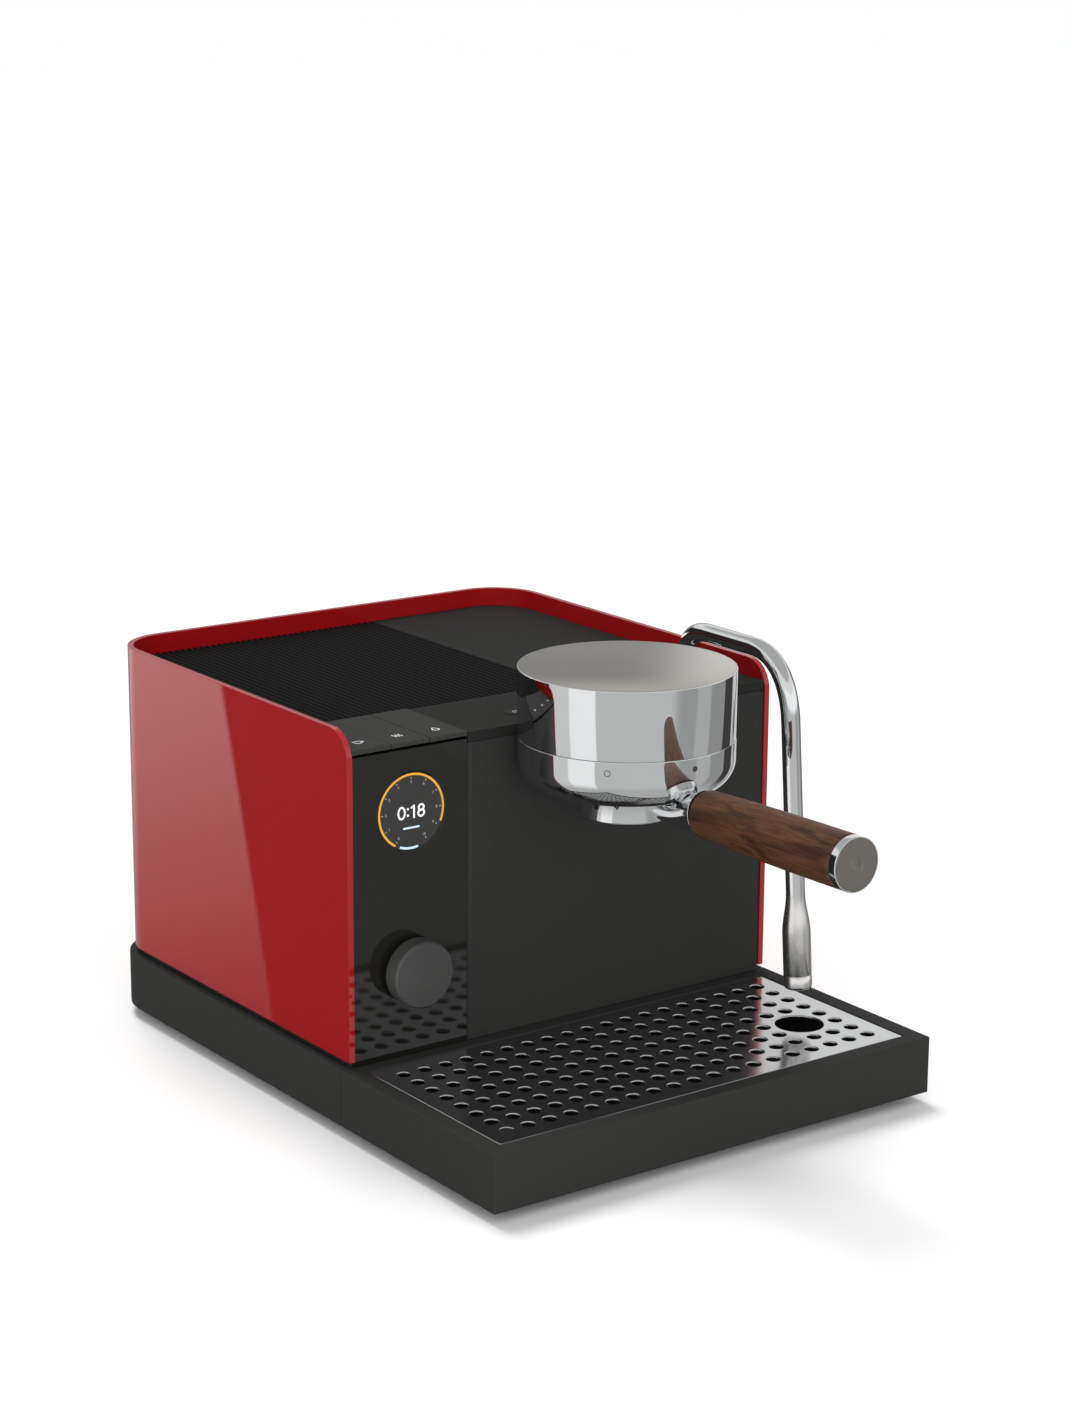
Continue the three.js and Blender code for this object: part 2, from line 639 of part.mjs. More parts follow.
function handleGrip() {
  const bulge = (GRIP_RADIUS_IN + GRIP_RADIUS_OUT) / 2 + 0.5;
  return onHandle([
    [GRIP_START + GAP, 0], [GRIP_START + GAP, GRIP_RADIUS_IN - 0.5], [GRIP_START + 1.5, GRIP_RADIUS_IN],
    [(GRIP_START + GRIP_END) / 2, bulge], [GRIP_END - GAP, GRIP_RADIUS_OUT], [GRIP_END - GAP, 0]]);
}

function handleBand() {
  return onHandle([
    [GRIP_END, 0], [GRIP_END, GRIP_RADIUS_OUT], [HANDLE_END - 0.6, GRIP_RADIUS_OUT], [HANDLE_END, GRIP_RADIUS_OUT - 0.6],
    [HANDLE_END, 13.2], [HANDLE_END - 2, 13.2], [HANDLE_END - 2, 0]]);
}

function handleCap() {
  return onHandle([[HANDLE_END - 2 + GAP, 0], [HANDLE_END - 2 + GAP, 12.9], [HANDLE_END, 12.9], [HANDLE_END, 0]]);
}

// ---------- steam wand ----------
const WAND_TIP_TOP = { y: -75.6, z: 101 };
const WAND_TIP_END = { y: -79.6, z: 51.5 };

function steamWandTube() {
  const at = (y, z) => new THREE.Vector3(WAND_X, y, z);
  const route = new THREE.CurvePath();
  route.add(new THREE.LineCurve3(at(WAND_ROOT_Y, WAND_ROOT_Z), at(WAND_ROOT_Y, 241)));
  route.add(new THREE.QuadraticBezierCurve3(at(WAND_ROOT_Y, 241), at(WAND_ROOT_Y, WAND_LEVEL), at(18, WAND_LEVEL)));
  route.add(new THREE.LineCurve3(at(18, WAND_LEVEL), at(-30, WAND_LEVEL)));
  route.add(new THREE.CubicBezierCurve3(at(-30, WAND_LEVEL), at(-50, WAND_LEVEL), at(-64, 240), at(-66.4, 214)));
  route.add(new THREE.LineCurve3(at(-66.4, 214), at(WAND_TIP_TOP.y, WAND_TIP_TOP.z + 0.4)));
  return tube(route, WAND_RADIUS, 30, 10);
}

function wandTip() {
  const length = Math.hypot(WAND_TIP_TOP.y - WAND_TIP_END.y, WAND_TIP_TOP.z - WAND_TIP_END.z);
  const lean = Math.atan2(WAND_TIP_TOP.y - WAND_TIP_END.y, WAND_TIP_TOP.z - WAND_TIP_END.z);
  const profile = [
    [0, -length], [3, -length + 0.4], [TIP_RADIUS - 2.2, -length + 2.6], [TIP_RADIUS, -length + 7],
    [TIP_RADIUS, -14], [WAND_RADIUS + 0.3, -1], [WAND_RADIUS + 0.3, 0], [0, 0],
  ];
  return turned(0, 0, profile, 20).rotateX(-lean).translate(WAND_X, WAND_TIP_TOP.y, WAND_TIP_TOP.z);
}

function wandCollar() {
  return turned(WAND_X, WAND_ROOT_Y, [
    [5.9, 214], [8.4, 214], [8.4, DECK_TOP + 1.2], [7.4, DECK_TOP + 2], [5.9, DECK_TOP + 2], [5.9, 214]], 20);
}

function steamValve() {
  const body = join(box(105, 131, 20, 46, 190, 213.6), rodX(33, 200, 96, 106, 7));
  return cut(body, post(WAND_X, WAND_ROOT_Y, 205.5, 220, 5.9, 16));
}

// ---------- water tank ----------
function waterTank() {
  const { left, right, front, back, bottom, top } = TANK;
  const w = TANK_WALL;
  const outer = prismZ(roundedRectangle(left, right, front, back, 14), bottom, top, 5);
  const room = prismZ(roundedRectangle(left + w, right - w, front + w, back - w, 14 - w), bottom + w, top + 1, 5);
  return cut(outer, room, post(VALVE_X, VALVE_Y, bottom - 1, bottom + 5, 4, 12));
}

function tankLid() {
  const { left, right, front, back } = TANK;
  const plate = rearDeck(LID_LEFT + GAP, INNER_HALF);
  const rest = prismZ(roundedRectangle(left, right, front, back, 14), 217.8, DECK_TOP - 1, 5);
  const plug = prismZ(roundedRectangle(left + 3, right - 3, front + 3, back - 3, 11), 214.5, 220, 5);
  const hollow = prismZ(roundedRectangle(left + 6, right - 6, front + 6, back - 6, 8), 213, DECK_TOP - DECK_THICK, 5);
  return cut(join(plate, rest, plug), hollow);
}

function tankValve() {
  return turned(VALVE_X, VALVE_Y, [[0, 36], [5, 36], [6, 37.5], [6, 45.7], [0, 45.7]], 12);
}

function tankCradle() {
  const { left, right, front, back } = TANK;
  const shelf = prismZ(roundedRectangle(left, right - 1.2, front, back, 14), 42, 45.6, 4);
  const legs = [];
  for (const x of [left + 8, right - 14]) {
    for (const y of [front + 14, back - 20]) legs.push(box(x, x + 6, y, y + 6, 3.3, 43));
  }
  const seat = post(VALVE_X, VALVE_Y, 24, 43, 11, 16);
  return cut(join(shelf, ...legs, seat), post(VALVE_X, VALVE_Y, 35.5, 50, 6.5, 12));
}

// ---------- works inside ----------
function boiler() {
  const body = rodY(-10, 130, 70, 200, 34, 24);
  const flange = rodY(-10, 130, 64, 71, 39, 24);
  const element = [rodY(-10, 130, 58, 65, 20, 16), rodY(-22, 130, 48, 60, 3, 8), rodY(2, 130, 48, 60, 3, 8)];
  const legs = [box(-35, 15, 90, 96, 3.3, 110), box(-35, 15, 170, 176, 3.3, 110)];
  const water = rodY(-10, 130, 73, 197, 31, 24);
  const port = post(0, 120, 140, 170, 1.8, 8);
  return cut(join(body, flange, ...element, ...legs), water, port);
}

function pump() {
  return join(rodY(-100, 60, 100, 190, 13, 16), box(-120, -80, 120, 165, 40, 80), rodY(-100, 60, 85, 102, 5, 10));
}

function pumpMounts() {
  return join(box(-112, -88, 108, 114, 3.3, 46.6), box(-112, -88, 171, 177, 3.3, 46.6), box(-112, -88, 110, 175, 3.3, 8));
}

function solenoidValve() {
  return join(box(-58, -36, 28, 56, 150, 172), post(-47, 42, 170, 196, 9, 12));
}

function flowMeter() {
  return join(rodY(20, 30, 120, 136, 16, 16), rodX(128, 30, -4, 47, 3, 8), box(10, 30, 124, 132, 3.3, 18));
}

function controlBoard() {
  return join(
    box(-146, -144.4, 60, 220, 110, 205),
    box(-144.6, -134, 80, 100, 120, 150), box(-144.6, -128, 120, 150, 130, 170), box(-144.6, -136, 170, 200, 150, 190));
}

function powerBoard() {
  return join(
    box(-70, 30, 215, 255, 20, 21.6),
    box(-60, -30, 222, 248, 21, 48), box(-20, 0, 225, 245, 21, 40), box(5, 24, 222, 250, 21, 34),
    post(-66, 219, 3.3, 21, 3, 8), post(26, 219, 3.3, 21, 3, 8), post(-66, 251, 3.3, 21, 3, 8), post(26, 251, 3.3, 21, 3, 8));
}

function powerInlet() {
  const body = box(-105, -75, 250, SHELL_BACK + 1.2, 60, 84);
  const flange = box(-108, -72, SHELL_BACK + GAP, SHELL_BACK + 2.8, 57, 87);
  const socket = box(-102, -78, 258, SHELL_BACK + 10, 63.5, 80.5);
  const pins = [-96, -90, -84].map((x) => box(x - 1, x + 1, 256, SHELL_BACK - 2, 69, 75));
  return join(cut(join(body, flange), socket), ...pins);
}

// Screw that holds the base to the inner frame, with its head under the base.
function baseScrew() {
  return turned(0, 0, [[0, -1.8], [3, -1.8], [3.4, -0.3], [0, -0.3]], 10);
}

function groupHeater() {
  return turned(GROUP_X, GROUP_Y, [[20, 222.4], [39.6, 222.4], [39.6, 236], [20, 236], [20, 222.4]], 20);
}

// ---------- put together ----------
add('base_frame', 'charcoal', baseFrame());
for (const [corner, x, y] of [
  ['front_left', -122, -128], ['front_right', 122, -128], ['back_left', -115, 245], ['back_right', 115, 245],
]) {
  add(`foot_${corner}`, 'rubber', foot()).position.set(x, y, 0);
}
for (const [side, x] of [['left', -130], ['right', 130]]) {
  add(`base_screw_${side}`, 'steel', baseScrew()).position.set(x, 150, 0);
}
add('drip_tray', 'charcoal', dripTray());
add('drip_grille', 'steel', dripGrille());
const plugRadius = HOLE_RADIUS * Math.cos(Math.PI / 6) - GAP;
add('grille_plug', 'rubber', post(PLUG_X, PLUG_Y, GRILLE_TOP - 4, GRILLE_TOP + 0.5, plugRadius, 10));

add('housing_shell', 'red', housingShell());
add('front_panel', 'charcoal', frontPanel());
add('display_panel', 'gloss_black', displayPanel());
add('display_lens', 'gloss_black', rodY(DISPLAY_X, DISPLAY_Z, PANEL_FRONT + 0.1, -0.1, DISPLAY_RADIUS, 32));
add('display_board', 'board', displayBoard());
add('deck_strip', 'charcoal', deckStrip());
add('warming_plate', 'charcoal', warmingPlate());
add('inner_frame', 'steel', innerFrame());

const KEY_NAMES = ['key_brew', 'key_steam', 'key_water'];
KEY_NAMES.forEach((name, i) => {
  add(name, 'charcoal', key(KEY_EDGES[i] + 0.2, KEY_EDGES[i + 1] - 0.2));
});
add('key_pivot_rod', 'steel', keyPivotRod());
add('key_switch_board', 'board', keySwitchBoard());
add('power_button', 'charcoal', powerButton());
add('dial_knob', 'charcoal', dialKnob());
add('dial_shaft', 'steel', rodY(DIAL_X, DIAL_Z, DIAL_FRONT + 3.3, 6.4, 3, 12));
add('encoder_plunger', 'brass', rodY(DIAL_X, DIAL_Z, 6.7, 9.5, 4, 12));
add('encoder', 'steel', encoder());

add('group_sleeve', 'chrome', groupSleeve());
const capRadius = GROUP_RADIUS - GROUP_WALL - GAP;
add('group_cap', 'satin_grey', turned(GROUP_X, GROUP_Y, [
  [0, GROUP_TOP - 3], [capRadius, GROUP_TOP - 3], [capRadius, GROUP_TOP - 0.4], [capRadius - 0.4, GROUP_TOP], [0, GROUP_TOP]]));
add('group_skirt', 'chrome', groupSkirt());
add('group_body', 'aluminium', groupBody());
add('group_heater', 'steel', groupHeater());
add('shower_screen', 'steel', showerScreen());
add('group_gasket', 'rubber', groupGasket());

const portafilter = new THREE.Group();
portafilter.position.set(GROUP_X, GROUP_Y, 0);
machine.add(portafilter);
add('portafilter_body', 'chrome', portafilterBody(), portafilter);
add('filter_basket', 'steel', filterBasket(), portafilter);
add('handle_grip', 'walnut', handleGrip(), portafilter);
add('handle_band', 'chrome', handleBand(), portafilter);
add('handle_cap', 'satin_grey', handleCap(), portafilter);

add('steam_wand_tube', 'chrome', steamWandTube());
add('steam_wand_tip', 'chrome', wandTip());
add('wand_collar', 'chrome', wandCollar());
add('steam_valve', 'brass', steamValve());

add('water_tank', 'clear', waterTank());
add('tank_lid', 'charcoal', tankLid());
add('tank_valve', 'silicone', tankValve());
add('tank_cradle', 'charcoal', tankCradle());

add('boiler', 'steel', boiler());
add('pump', 'steel', pump());
add('pump_mounts', 'rubber', pumpMounts());
add('solenoid_valve', 'brass', solenoidValve());
add('flow_meter', 'charcoal', flowMeter());
add('control_board', 'board', controlBoard());
add('power_board', 'board', powerBoard());
add('power_inlet', 'charcoal', powerInlet());
add('hose_tank_to_meter', 'silicone', hose([[84.4, 210, 30], [76, 208, 28], [68, 180, 24], [66, 140, 26], [58, 128, 30], [47.6, 128, 30]], 2.6));
add('hose_meter_to_pump', 'silicone', hose([[-4.8, 128, 30], [-14, 128, 30], [-44, 104, 26], [-80, 62, 36], [-99, 62, 58], [-100, 76, 60], [-100, 84.4, 60]], 2.6, 20));
add('hose_pump_to_boiler', 'silicone', hose([[-100, 190.6, 60], [-100, 198, 60], [-84, 212, 90], [-40, 218, 122], [-12, 212, 130], [-10, 200.8, 130]], 3));
add('pipe_boiler_to_steam', 'steel', hose([[0, 120, 164.8], [0, 120, 172], [14, 104, 188], [42, 60, 203], [68, 36, 203], [86, 33, 200], [95.4, 33, 200]], 2.6, 18));

// ---------- origin: centre of the footprint, under the feet ----------
const handleEndY = GROUP_Y - HANDLE_END * Math.cos(HANDLE_TILT) - (GRIP_RADIUS_OUT - 0.6) * Math.sin(HANDLE_TILT);
machine.position.set(0, -(BASE_BACK + handleEndY) / 2, FOOT_HEIGHT);

export default machine;
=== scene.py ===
"""Looks of the compact espresso machine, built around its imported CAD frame.

Shapes are drawn in millimetres in the machine's own frame: x = 0 on the centre line,
y = 0 at the seam between tray and base, z = 0 at the underside of the base. to_row()
moves them into the row frame, in metres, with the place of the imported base.
"""

import json
import math
import bpy
import bmesh
from mathutils import Matrix, Vector
from mathutils.geometry import tessellate_polygon


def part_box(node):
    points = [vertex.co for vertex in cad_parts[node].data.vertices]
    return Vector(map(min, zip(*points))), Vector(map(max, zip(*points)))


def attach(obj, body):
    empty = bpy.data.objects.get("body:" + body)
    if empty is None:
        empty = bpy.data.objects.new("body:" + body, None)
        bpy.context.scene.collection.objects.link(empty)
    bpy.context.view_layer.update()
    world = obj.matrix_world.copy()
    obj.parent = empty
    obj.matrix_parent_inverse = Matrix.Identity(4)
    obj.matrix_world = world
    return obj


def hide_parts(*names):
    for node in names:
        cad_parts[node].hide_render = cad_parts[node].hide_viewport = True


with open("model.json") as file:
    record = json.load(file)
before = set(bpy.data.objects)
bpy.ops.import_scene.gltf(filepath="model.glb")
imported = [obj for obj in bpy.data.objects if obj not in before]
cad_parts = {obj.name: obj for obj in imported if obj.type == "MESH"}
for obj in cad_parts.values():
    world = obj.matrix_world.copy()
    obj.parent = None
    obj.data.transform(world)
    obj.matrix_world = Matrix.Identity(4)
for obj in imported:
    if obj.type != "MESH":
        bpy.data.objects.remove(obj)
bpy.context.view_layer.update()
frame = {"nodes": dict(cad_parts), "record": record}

# ---------- the machine's frame ----------
MM = 0.001
BASE_BACK = 280.0
BASE_LOW, BASE_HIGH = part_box("base_frame")
ORIGIN = Vector((0.0, BASE_HIGH.y - BASE_BACK * MM, BASE_LOW.z))


def to_row(point):
    return Vector(point) * MM + ORIGIN


def from_row(point):
    return (Vector(point) - ORIGIN) / MM


def low_high(node):
    low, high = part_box(node)
    return from_row(low), from_row(high)


# ---------- places taken from the frame, in millimetres ----------
SHELL_LOW, SHELL_HIGH = low_high("housing_shell")
SHELL_THICK = 3.66
SHELL_CORNER = 35.0
SHELL_NOSE = 18.0
GRILLE_LOW, GRILLE_HIGH = low_high("drip_grille")
PLATE_LOW, PLATE_HIGH = low_high("warming_plate")
CAP_LOW, CAP_HIGH = low_high("group_cap")
SLEEVE_LOW, SLEEVE_HIGH = low_high("group_sleeve")
SKIRT_LOW, SKIRT_HIGH = low_high("group_skirt")
GROUP_X = (SLEEVE_LOW.x + SLEEVE_HIGH.x) / 2
GROUP_Y = (SLEEVE_LOW.y + SLEEVE_HIGH.y) / 2
GROUP_RADIUS = (SLEEVE_HIGH.x - SLEEVE_LOW.x) / 2
DIAL_LOW, DIAL_HIGH = low_high("dial_knob")
DIAL_X = (DIAL_LOW.x + DIAL_HIGH.x) / 2
DIAL_Z = (DIAL_LOW.z + DIAL_HIGH.z) / 2
DIAL_RADIUS = (DIAL_HIGH.x - DIAL_LOW.x) / 2
LENS_LOW, LENS_HIGH = low_high("display_lens")
LENS_X = (LENS_LOW.x + LENS_HIGH.x) / 2
LENS_Z = (LENS_LOW.z + LENS_HIGH.z) / 2
LENS_RADIUS = (LENS_HIGH.x - LENS_LOW.x) / 2
POWER_LOW, POWER_HIGH = low_high("power_button")
COLLAR_LOW, COLLAR_HIGH = low_high("wand_collar")
WAND_X = (COLLAR_LOW.x + COLLAR_HIGH.x) / 2
WAND_ROOT_Y = (COLLAR_LOW.y + COLLAR_HIGH.y) / 2
POT_BOTTOM = low_high("portafilter_body")[0].z


# ---------- materials ----------
def srgb(red, green, blue):
    """Linear colour from an 8-bit sRGB one."""
    def channel(value):
        value /= 255
        return value / 12.92 if value <= 0.04045 else ((value + 0.055) / 1.055) ** 2.4
    return (channel(red), channel(green), channel(blue), 1.0)


class Nodes:
    """A material's node tree, with short calls for the nodes that the looks share."""

    def __init__(self, name):
        self.material = bpy.data.materials.new(name)
        self.material.use_nodes = True
        self.tree = self.material.node_tree
        self.shader = self.tree.nodes["Principled BSDF"]
        self.coordinates = self.tree.nodes.new("ShaderNodeTexCoord")

    def link(self, output, socket):
        self.tree.links.new(output, socket)

    def set(self, **values):
        for name, value in values.items():
            self.shader.inputs[name.replace("_", " ")].default_value = value

    def stretched(self, scale):
        mapping = self.tree.nodes.new("ShaderNodeMapping")
        mapping.inputs["Scale"].default_value = scale
        self.link(self.coordinates.outputs["Object"], mapping.inputs["Vector"])
        return mapping.outputs["Vector"]

    def noise(self, scale, detail, stretch=None, distortion=0.0):
        node = self.tree.nodes.new("ShaderNodeTexNoise")
        node.inputs["Scale"].default_value = scale
        node.inputs["Detail"].default_value = detail
        node.inputs["Distortion"].default_value = distortion
        place = self.stretched(stretch) if stretch else self.coordinates.outputs["Object"]
        self.link(place, node.inputs["Vector"])
        return node.outputs["Fac"]

    def ramp(self, value, stops):
        node = self.tree.nodes.new("ShaderNodeValToRGB")
        while len(node.color_ramp.elements) < len(stops):
            node.color_ramp.elements.new(0.5)
        for element, (position, colour) in zip(node.color_ramp.elements, stops):
            element.position = position
            element.color = colour
        self.link(value, node.inputs["Fac"])
        return node.outputs["Color"]

    def between(self, value, low, high):
        node = self.tree.nodes.new("ShaderNodeMapRange")
        node.inputs["To Min"].default_value = low
        node.inputs["To Max"].default_value = high
        self.link(value, node.inputs["Value"])
        return node.outputs["Result"]

    def colour(self, value, colour, spread):
        """Base colour mottled by a value, by a share of its brightness."""
        self.link(self.ramp(value, mottled(colour, spread)), self.shader.inputs["Base Color"])

    def gloss(self, value, low, high):
        """Roughness that wanders between two levels."""
        self.link(self.between(value, low, high), self.shader.inputs["Roughness"])

    def bump(self, height, strength, distance):
        node = self.tree.nodes.new("ShaderNodeBump")
        node.inputs["Strength"].default_value = strength
        node.inputs["Distance"].default_value = distance
        self.link(height, node.inputs["Height"])
        self.link(node.outputs["Normal"], self.shader.inputs["Normal"])


def mottled(colour, spread):
    """Two close shades of a colour, for a ramp."""
    darker = tuple(c * (1 - spread) for c in colour[:3]) + (1.0,)
    lighter = tuple(min(c * (1 + spread), 1.0) for c in colour[:3]) + (1.0,)
    return [(0.3, darker), (0.7, lighter)]


def noisy_look(name, colour, spread, mottle, sheen, low, high, grain=None, **values):
    """Colour and gloss that each wander with a noise, and a fine grain on the surface.

    mottle and sheen are what noise() takes; grain holds that too, then a strength and a depth.
    """
    n = Nodes(name)
    n.colour(n.noise(*mottle), colour, spread)
    n.gloss(n.noise(*sheen), low, high)
    n.set(**values)
    if grain:
        *noise, strength, depth = grain
        n.bump(n.noise(*noise), strength, depth)
    return n.material


def plain_look(name, colour, roughness, spread=0.06, grain=900.0, depth=0.00003, metal=0.0):
    low, high = roughness - 0.08, roughness + 0.08
    surface = (grain, 2, 0.25, depth)
    return noisy_look(name, colour, spread, (35, 3), (60, 3), low, high, surface, Metallic=metal)


def charcoal_look(name, colour):
    """Matte moulded plastic with a fine spark grain."""
    grain = (2200, 2, 0.12, 0.00005)
    return noisy_look(name, colour, 0.1, (1800, 2), (500, 2), 0.5, 0.64, grain, Specular_IOR_Level=0.02)


def metal_look(name, colour, mottle, sheen, low, high, grain):
    """Bright metal whose grain runs along one axis."""
    return noisy_look(name, colour, 0.03, mottle, sheen, low, high, grain, Metallic=1.0)


def walnut_look():
    """Walnut with its grain along the handle: broad bands, fine pores and darker streaks."""
    n = Nodes("walnut")
    bands = n.noise(95.0, 5.0, (1.0, 0.16, 1.0), 1.6)
    colour = n.ramp(bands, [
        (0.28, srgb(40, 22, 13)), (0.42, srgb(68, 40, 25)), (0.54, srgb(92, 57, 37)),
        (0.64, srgb(75, 46, 29)), (0.76, srgb(44, 26, 17)),
    ])
    fibres = (1.0, 0.035, 1.0)
    pores = n.ramp(n.noise(1300.0, 3.0, fibres), [(0.38, (0.35, 0.35, 0.35, 1)), (0.5, (1, 1, 1, 1))])
    mix = n.tree.nodes.new("ShaderNodeMix")
    mix.data_type = "RGBA"
    mix.blend_type = "MULTIPLY"
    mix.inputs["Factor"].default_value = 0.6
    n.link(colour, mix.inputs["A"])
    n.link(pores, mix.inputs["B"])
    n.link(mix.outputs["Result"], n.shader.inputs["Base Color"])
    n.gloss(bands, 0.42, 0.58)
    n.set(Specular_IOR_Level=0.3)
    n.bump(n.noise(1300.0, 3.0, fibres), 0.35, 0.00008)
    return n.material


def lit_look(name, colour, strength):
    """Lit marks of the display, a little uneven as pixels are."""
    n = Nodes(name)
    n.colour(n.noise(4000.0, 1.0), colour, 0.08)
    n.link(n.ramp(n.noise(4000.0, 1.0), mottled(colour, 0.08)), n.shader.inputs["Emission Color"])
    n.set(Emission_Strength=strength, Roughness=0.3)
    return n.material


LOOKS = {
    "red_lacquer": noisy_look(
        "red_lacquer", srgb(155, 8, 12), 0.025, (12, 2), (40, 2), 0.38, 0.46, (140, 1, 0.02, 0.00002),
        Specular_IOR_Level=0.08, Coat_Weight=1.0, Coat_Roughness=0.006, Coat_IOR=1.62),
    "charcoal_plastic": charcoal_look("charcoal_plastic", srgb(51, 51, 50)),
    "gloss_black": noisy_look("gloss_black", srgb(27, 26, 24), 0.05, (30, 2), (50, 2), 0.05, 0.08),
    "chrome": noisy_look("chrome", srgb(232, 233, 234), 0.02, (20, 2), (90, 3), 0.01, 0.035, Metallic=1.0),
    "satin_metal": metal_look(
        "satin_metal", srgb(171, 167, 160), (25, 2), (1500, 2, (1, 0.05, 1)), 0.12, 0.17,
        (2600, 2, (1, 0.06, 1), 0.03, 0.00001)),
    "polished_steel": metal_look(
        "polished_steel", srgb(205, 206, 207), (30, 2), (400, 2, (1, 0.06, 1)), 0.13, 0.19,
        (900, 2, (1, 0.05, 1), 0.03, 0.00002)),
    "brushed_steel": metal_look(
        "brushed_steel", srgb(236, 234, 231), (260, 2, (1, 1, 0.05)), (900, 2, (1, 1, 0.05)), 0.24, 0.3,
        (1500, 2, (1, 1, 0.05), 0.05, 0.00002)),
    "turned_metal": plain_look("turned_metal", srgb(160, 154, 147), 0.2, 0.03, 2400.0, 0.00001, metal=1.0),
    "steel": plain_look("steel", srgb(160, 161, 163), 0.35, metal=1.0),
    "aluminium": plain_look("aluminium", srgb(168, 170, 172), 0.45, metal=1.0, depth=0.0001),
    "brass": plain_look("brass", srgb(186, 146, 70), 0.32, metal=1.0),
    "walnut": walnut_look(),
    "rubber": plain_look("rubber", srgb(26, 26, 26), 0.8, grain=1500.0, depth=0.00008),
    "silicone": plain_look("silicone", srgb(214, 214, 206), 0.5),
    "clear_plastic": noisy_look(
        "clear_plastic", srgb(205, 214, 218), 0.03, (20, 2), (60, 2), 0.06, 0.14,
        Transmission_Weight=0.85, IOR=1.49),
    "circuit_board": plain_look("circuit_board", srgb(28, 84, 48), 0.5, spread=0.15),
}
# The charcoal made darker for the deck strip and tank lid, which face up: painted shade on these top faces.
DECK_PAINTED_SHADE = charcoal_look("deck_plastic_painted_shade", srgb(41, 41, 40))
# The charcoal made darker still for the ribbed cup plate: painted shade of its grooves, added to the shade
# that the modelled grooves cast.
RIBS_PAINTED_SHADE = charcoal_look("rib_plastic_painted_shade", srgb(28, 28, 28))
KEYS = charcoal_look("key_plastic", srgb(57, 57, 56))
KNOB = plain_look("knob_plastic", srgb(61, 61, 60), 0.5, spread=0.12, grain=2600.0, depth=0.00005)
# Near-black look used as painted shade: the outlet discs under the pot wear it in place of open holes; the
# cutters given it are cut away.
PAINTED_SHADE = plain_look("painted_shade_dark", srgb(18, 18, 18), 0.7)
SCREEN = plain_look("screen_face", srgb(50, 49, 48), 0.4, spread=0.1, grain=2500.0)
MARK_WHITE = lit_look("mark_white", srgb(235, 235, 235), 0.35)
MARK_GREY = lit_look("mark_grey", srgb(160, 160, 158), 0.15)
MARK_YELLOW = lit_look("mark_yellow", srgb(222, 161, 46), 0.2)
MARK_BLUE = lit_look("mark_blue", srgb(190, 214, 232), 0.35)
PRINT_GREY = plain_look("print_grey", srgb(58, 58, 58), 0.6)
ICON_WHITE = plain_look("icon_white", srgb(214, 214, 214), 0.5)

# ---------- mesh tools ----------
SLOT_OF = {row["node"]: row["material_slot"] for row in frame["record"]["subparts"]}
BODY_OF = {node: body for body, nodes in frame["record"]["behaviour"]["bodies"].items() for node in nodes}


def object_from(name, points, faces, material, smooth=35.0):
    """Object whose points are given in millimetres in the machine's frame."""
    mesh = bpy.data.meshes.new(name)
    mesh.from_pydata([to_row(p) for p in points], [], faces)
    bm = bmesh.new()
    bm.from_mesh(mesh)
    bmesh.ops.remove_doubles(bm, verts=bm.verts, dist=1e-7)
    bmesh.ops.recalc_face_normals(bm, faces=bm.faces)
    bm.to_mesh(mesh)
    bm.free()
    mesh.shade_smooth()
    mesh.set_sharp_from_angle(angle=math.radians(smooth))
    mesh.materials.append(material)
    piece = bpy.data.objects.new(name, mesh)
    bpy.context.scene.collection.objects.link(piece)
    return piece


def bevelled(piece, width, segments=3, angle=32.0):
    """Rounds the sharp edges by a width in millimetres."""
    bevel = piece.modifiers.new("edges", "BEVEL")
    bevel.width = width * MM
    bevel.segments = segments
    bevel.limit_method = "ANGLE"
    bevel.angle_limit = math.radians(angle)
    bevel.harden_normals = True
    weighted = piece.modifiers.new("flats", "WEIGHTED_NORMAL")
    weighted.keep_sharp = True
    weighted.weight = 100
    return piece


def apply_modifiers(piece):
    graph = bpy.context.evaluated_depsgraph_get()
    mesh = bpy.data.meshes.new_from_object(piece.evaluated_get(graph))
    piece.modifiers.clear()
    piece.data = mesh
    return piece


def cut(piece, *cutters):
    """Takes the cutters' shapes out of the piece."""
    for cutter in cutters:
        boolean = piece.modifiers.new("cut", "BOOLEAN")
        boolean.operation = "DIFFERENCE"
        boolean.solver = "EXACT"
        boolean.object = cutter
    apply_modifiers(piece)
    for cutter in cutters:
        bpy.data.objects.remove(cutter)
    return piece


def stands_for(piece, *nodes):
    """The piece rides with the body of the first CAD node and stands in for the nodes, which are hidden."""
    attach(piece, BODY_OF[nodes[0]])
    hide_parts(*nodes)
    return piece


def trim(piece, node):
    """A small added piece that rides with a CAD node's body."""
    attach(piece, BODY_OF[node])
    return piece


def refined(node, width=0.5, segments=3, look=None):
    """The CAD node's own shape as one clean surface with rounded edges."""
    bm = bmesh.new()
    bm.from_mesh(frame["nodes"][node].data)
    bmesh.ops.remove_doubles(bm, verts=bm.verts, dist=2e-6)
    bmesh.ops.dissolve_limit(bm, angle_limit=math.radians(0.8), verts=bm.verts, edges=bm.edges)
    mesh = bpy.data.meshes.new(node + "_shape")
    bm.to_mesh(mesh)
    bm.free()
    mesh.shade_smooth()
    mesh.set_sharp_from_angle(angle=math.radians(30))
    mesh.materials.append(look or LOOKS[SLOT_OF[node]])
    piece = bpy.data.objects.new(node + "_shape", mesh)
    bpy.context.scene.collection.objects.link(piece)
    bevelled(piece, width, segments)
    return stands_for(piece, node)


def arc(centre_r, centre_z, radius, start, end, steps):
    """Points of an arc in a profile, angles in degrees."""
    points = []
    for i in range(steps + 1):
        a = math.radians(start + (end - start) * i / steps)
        points.append((centre_r + radius * math.cos(a), centre_z + radius * math.sin(a)))
    return points


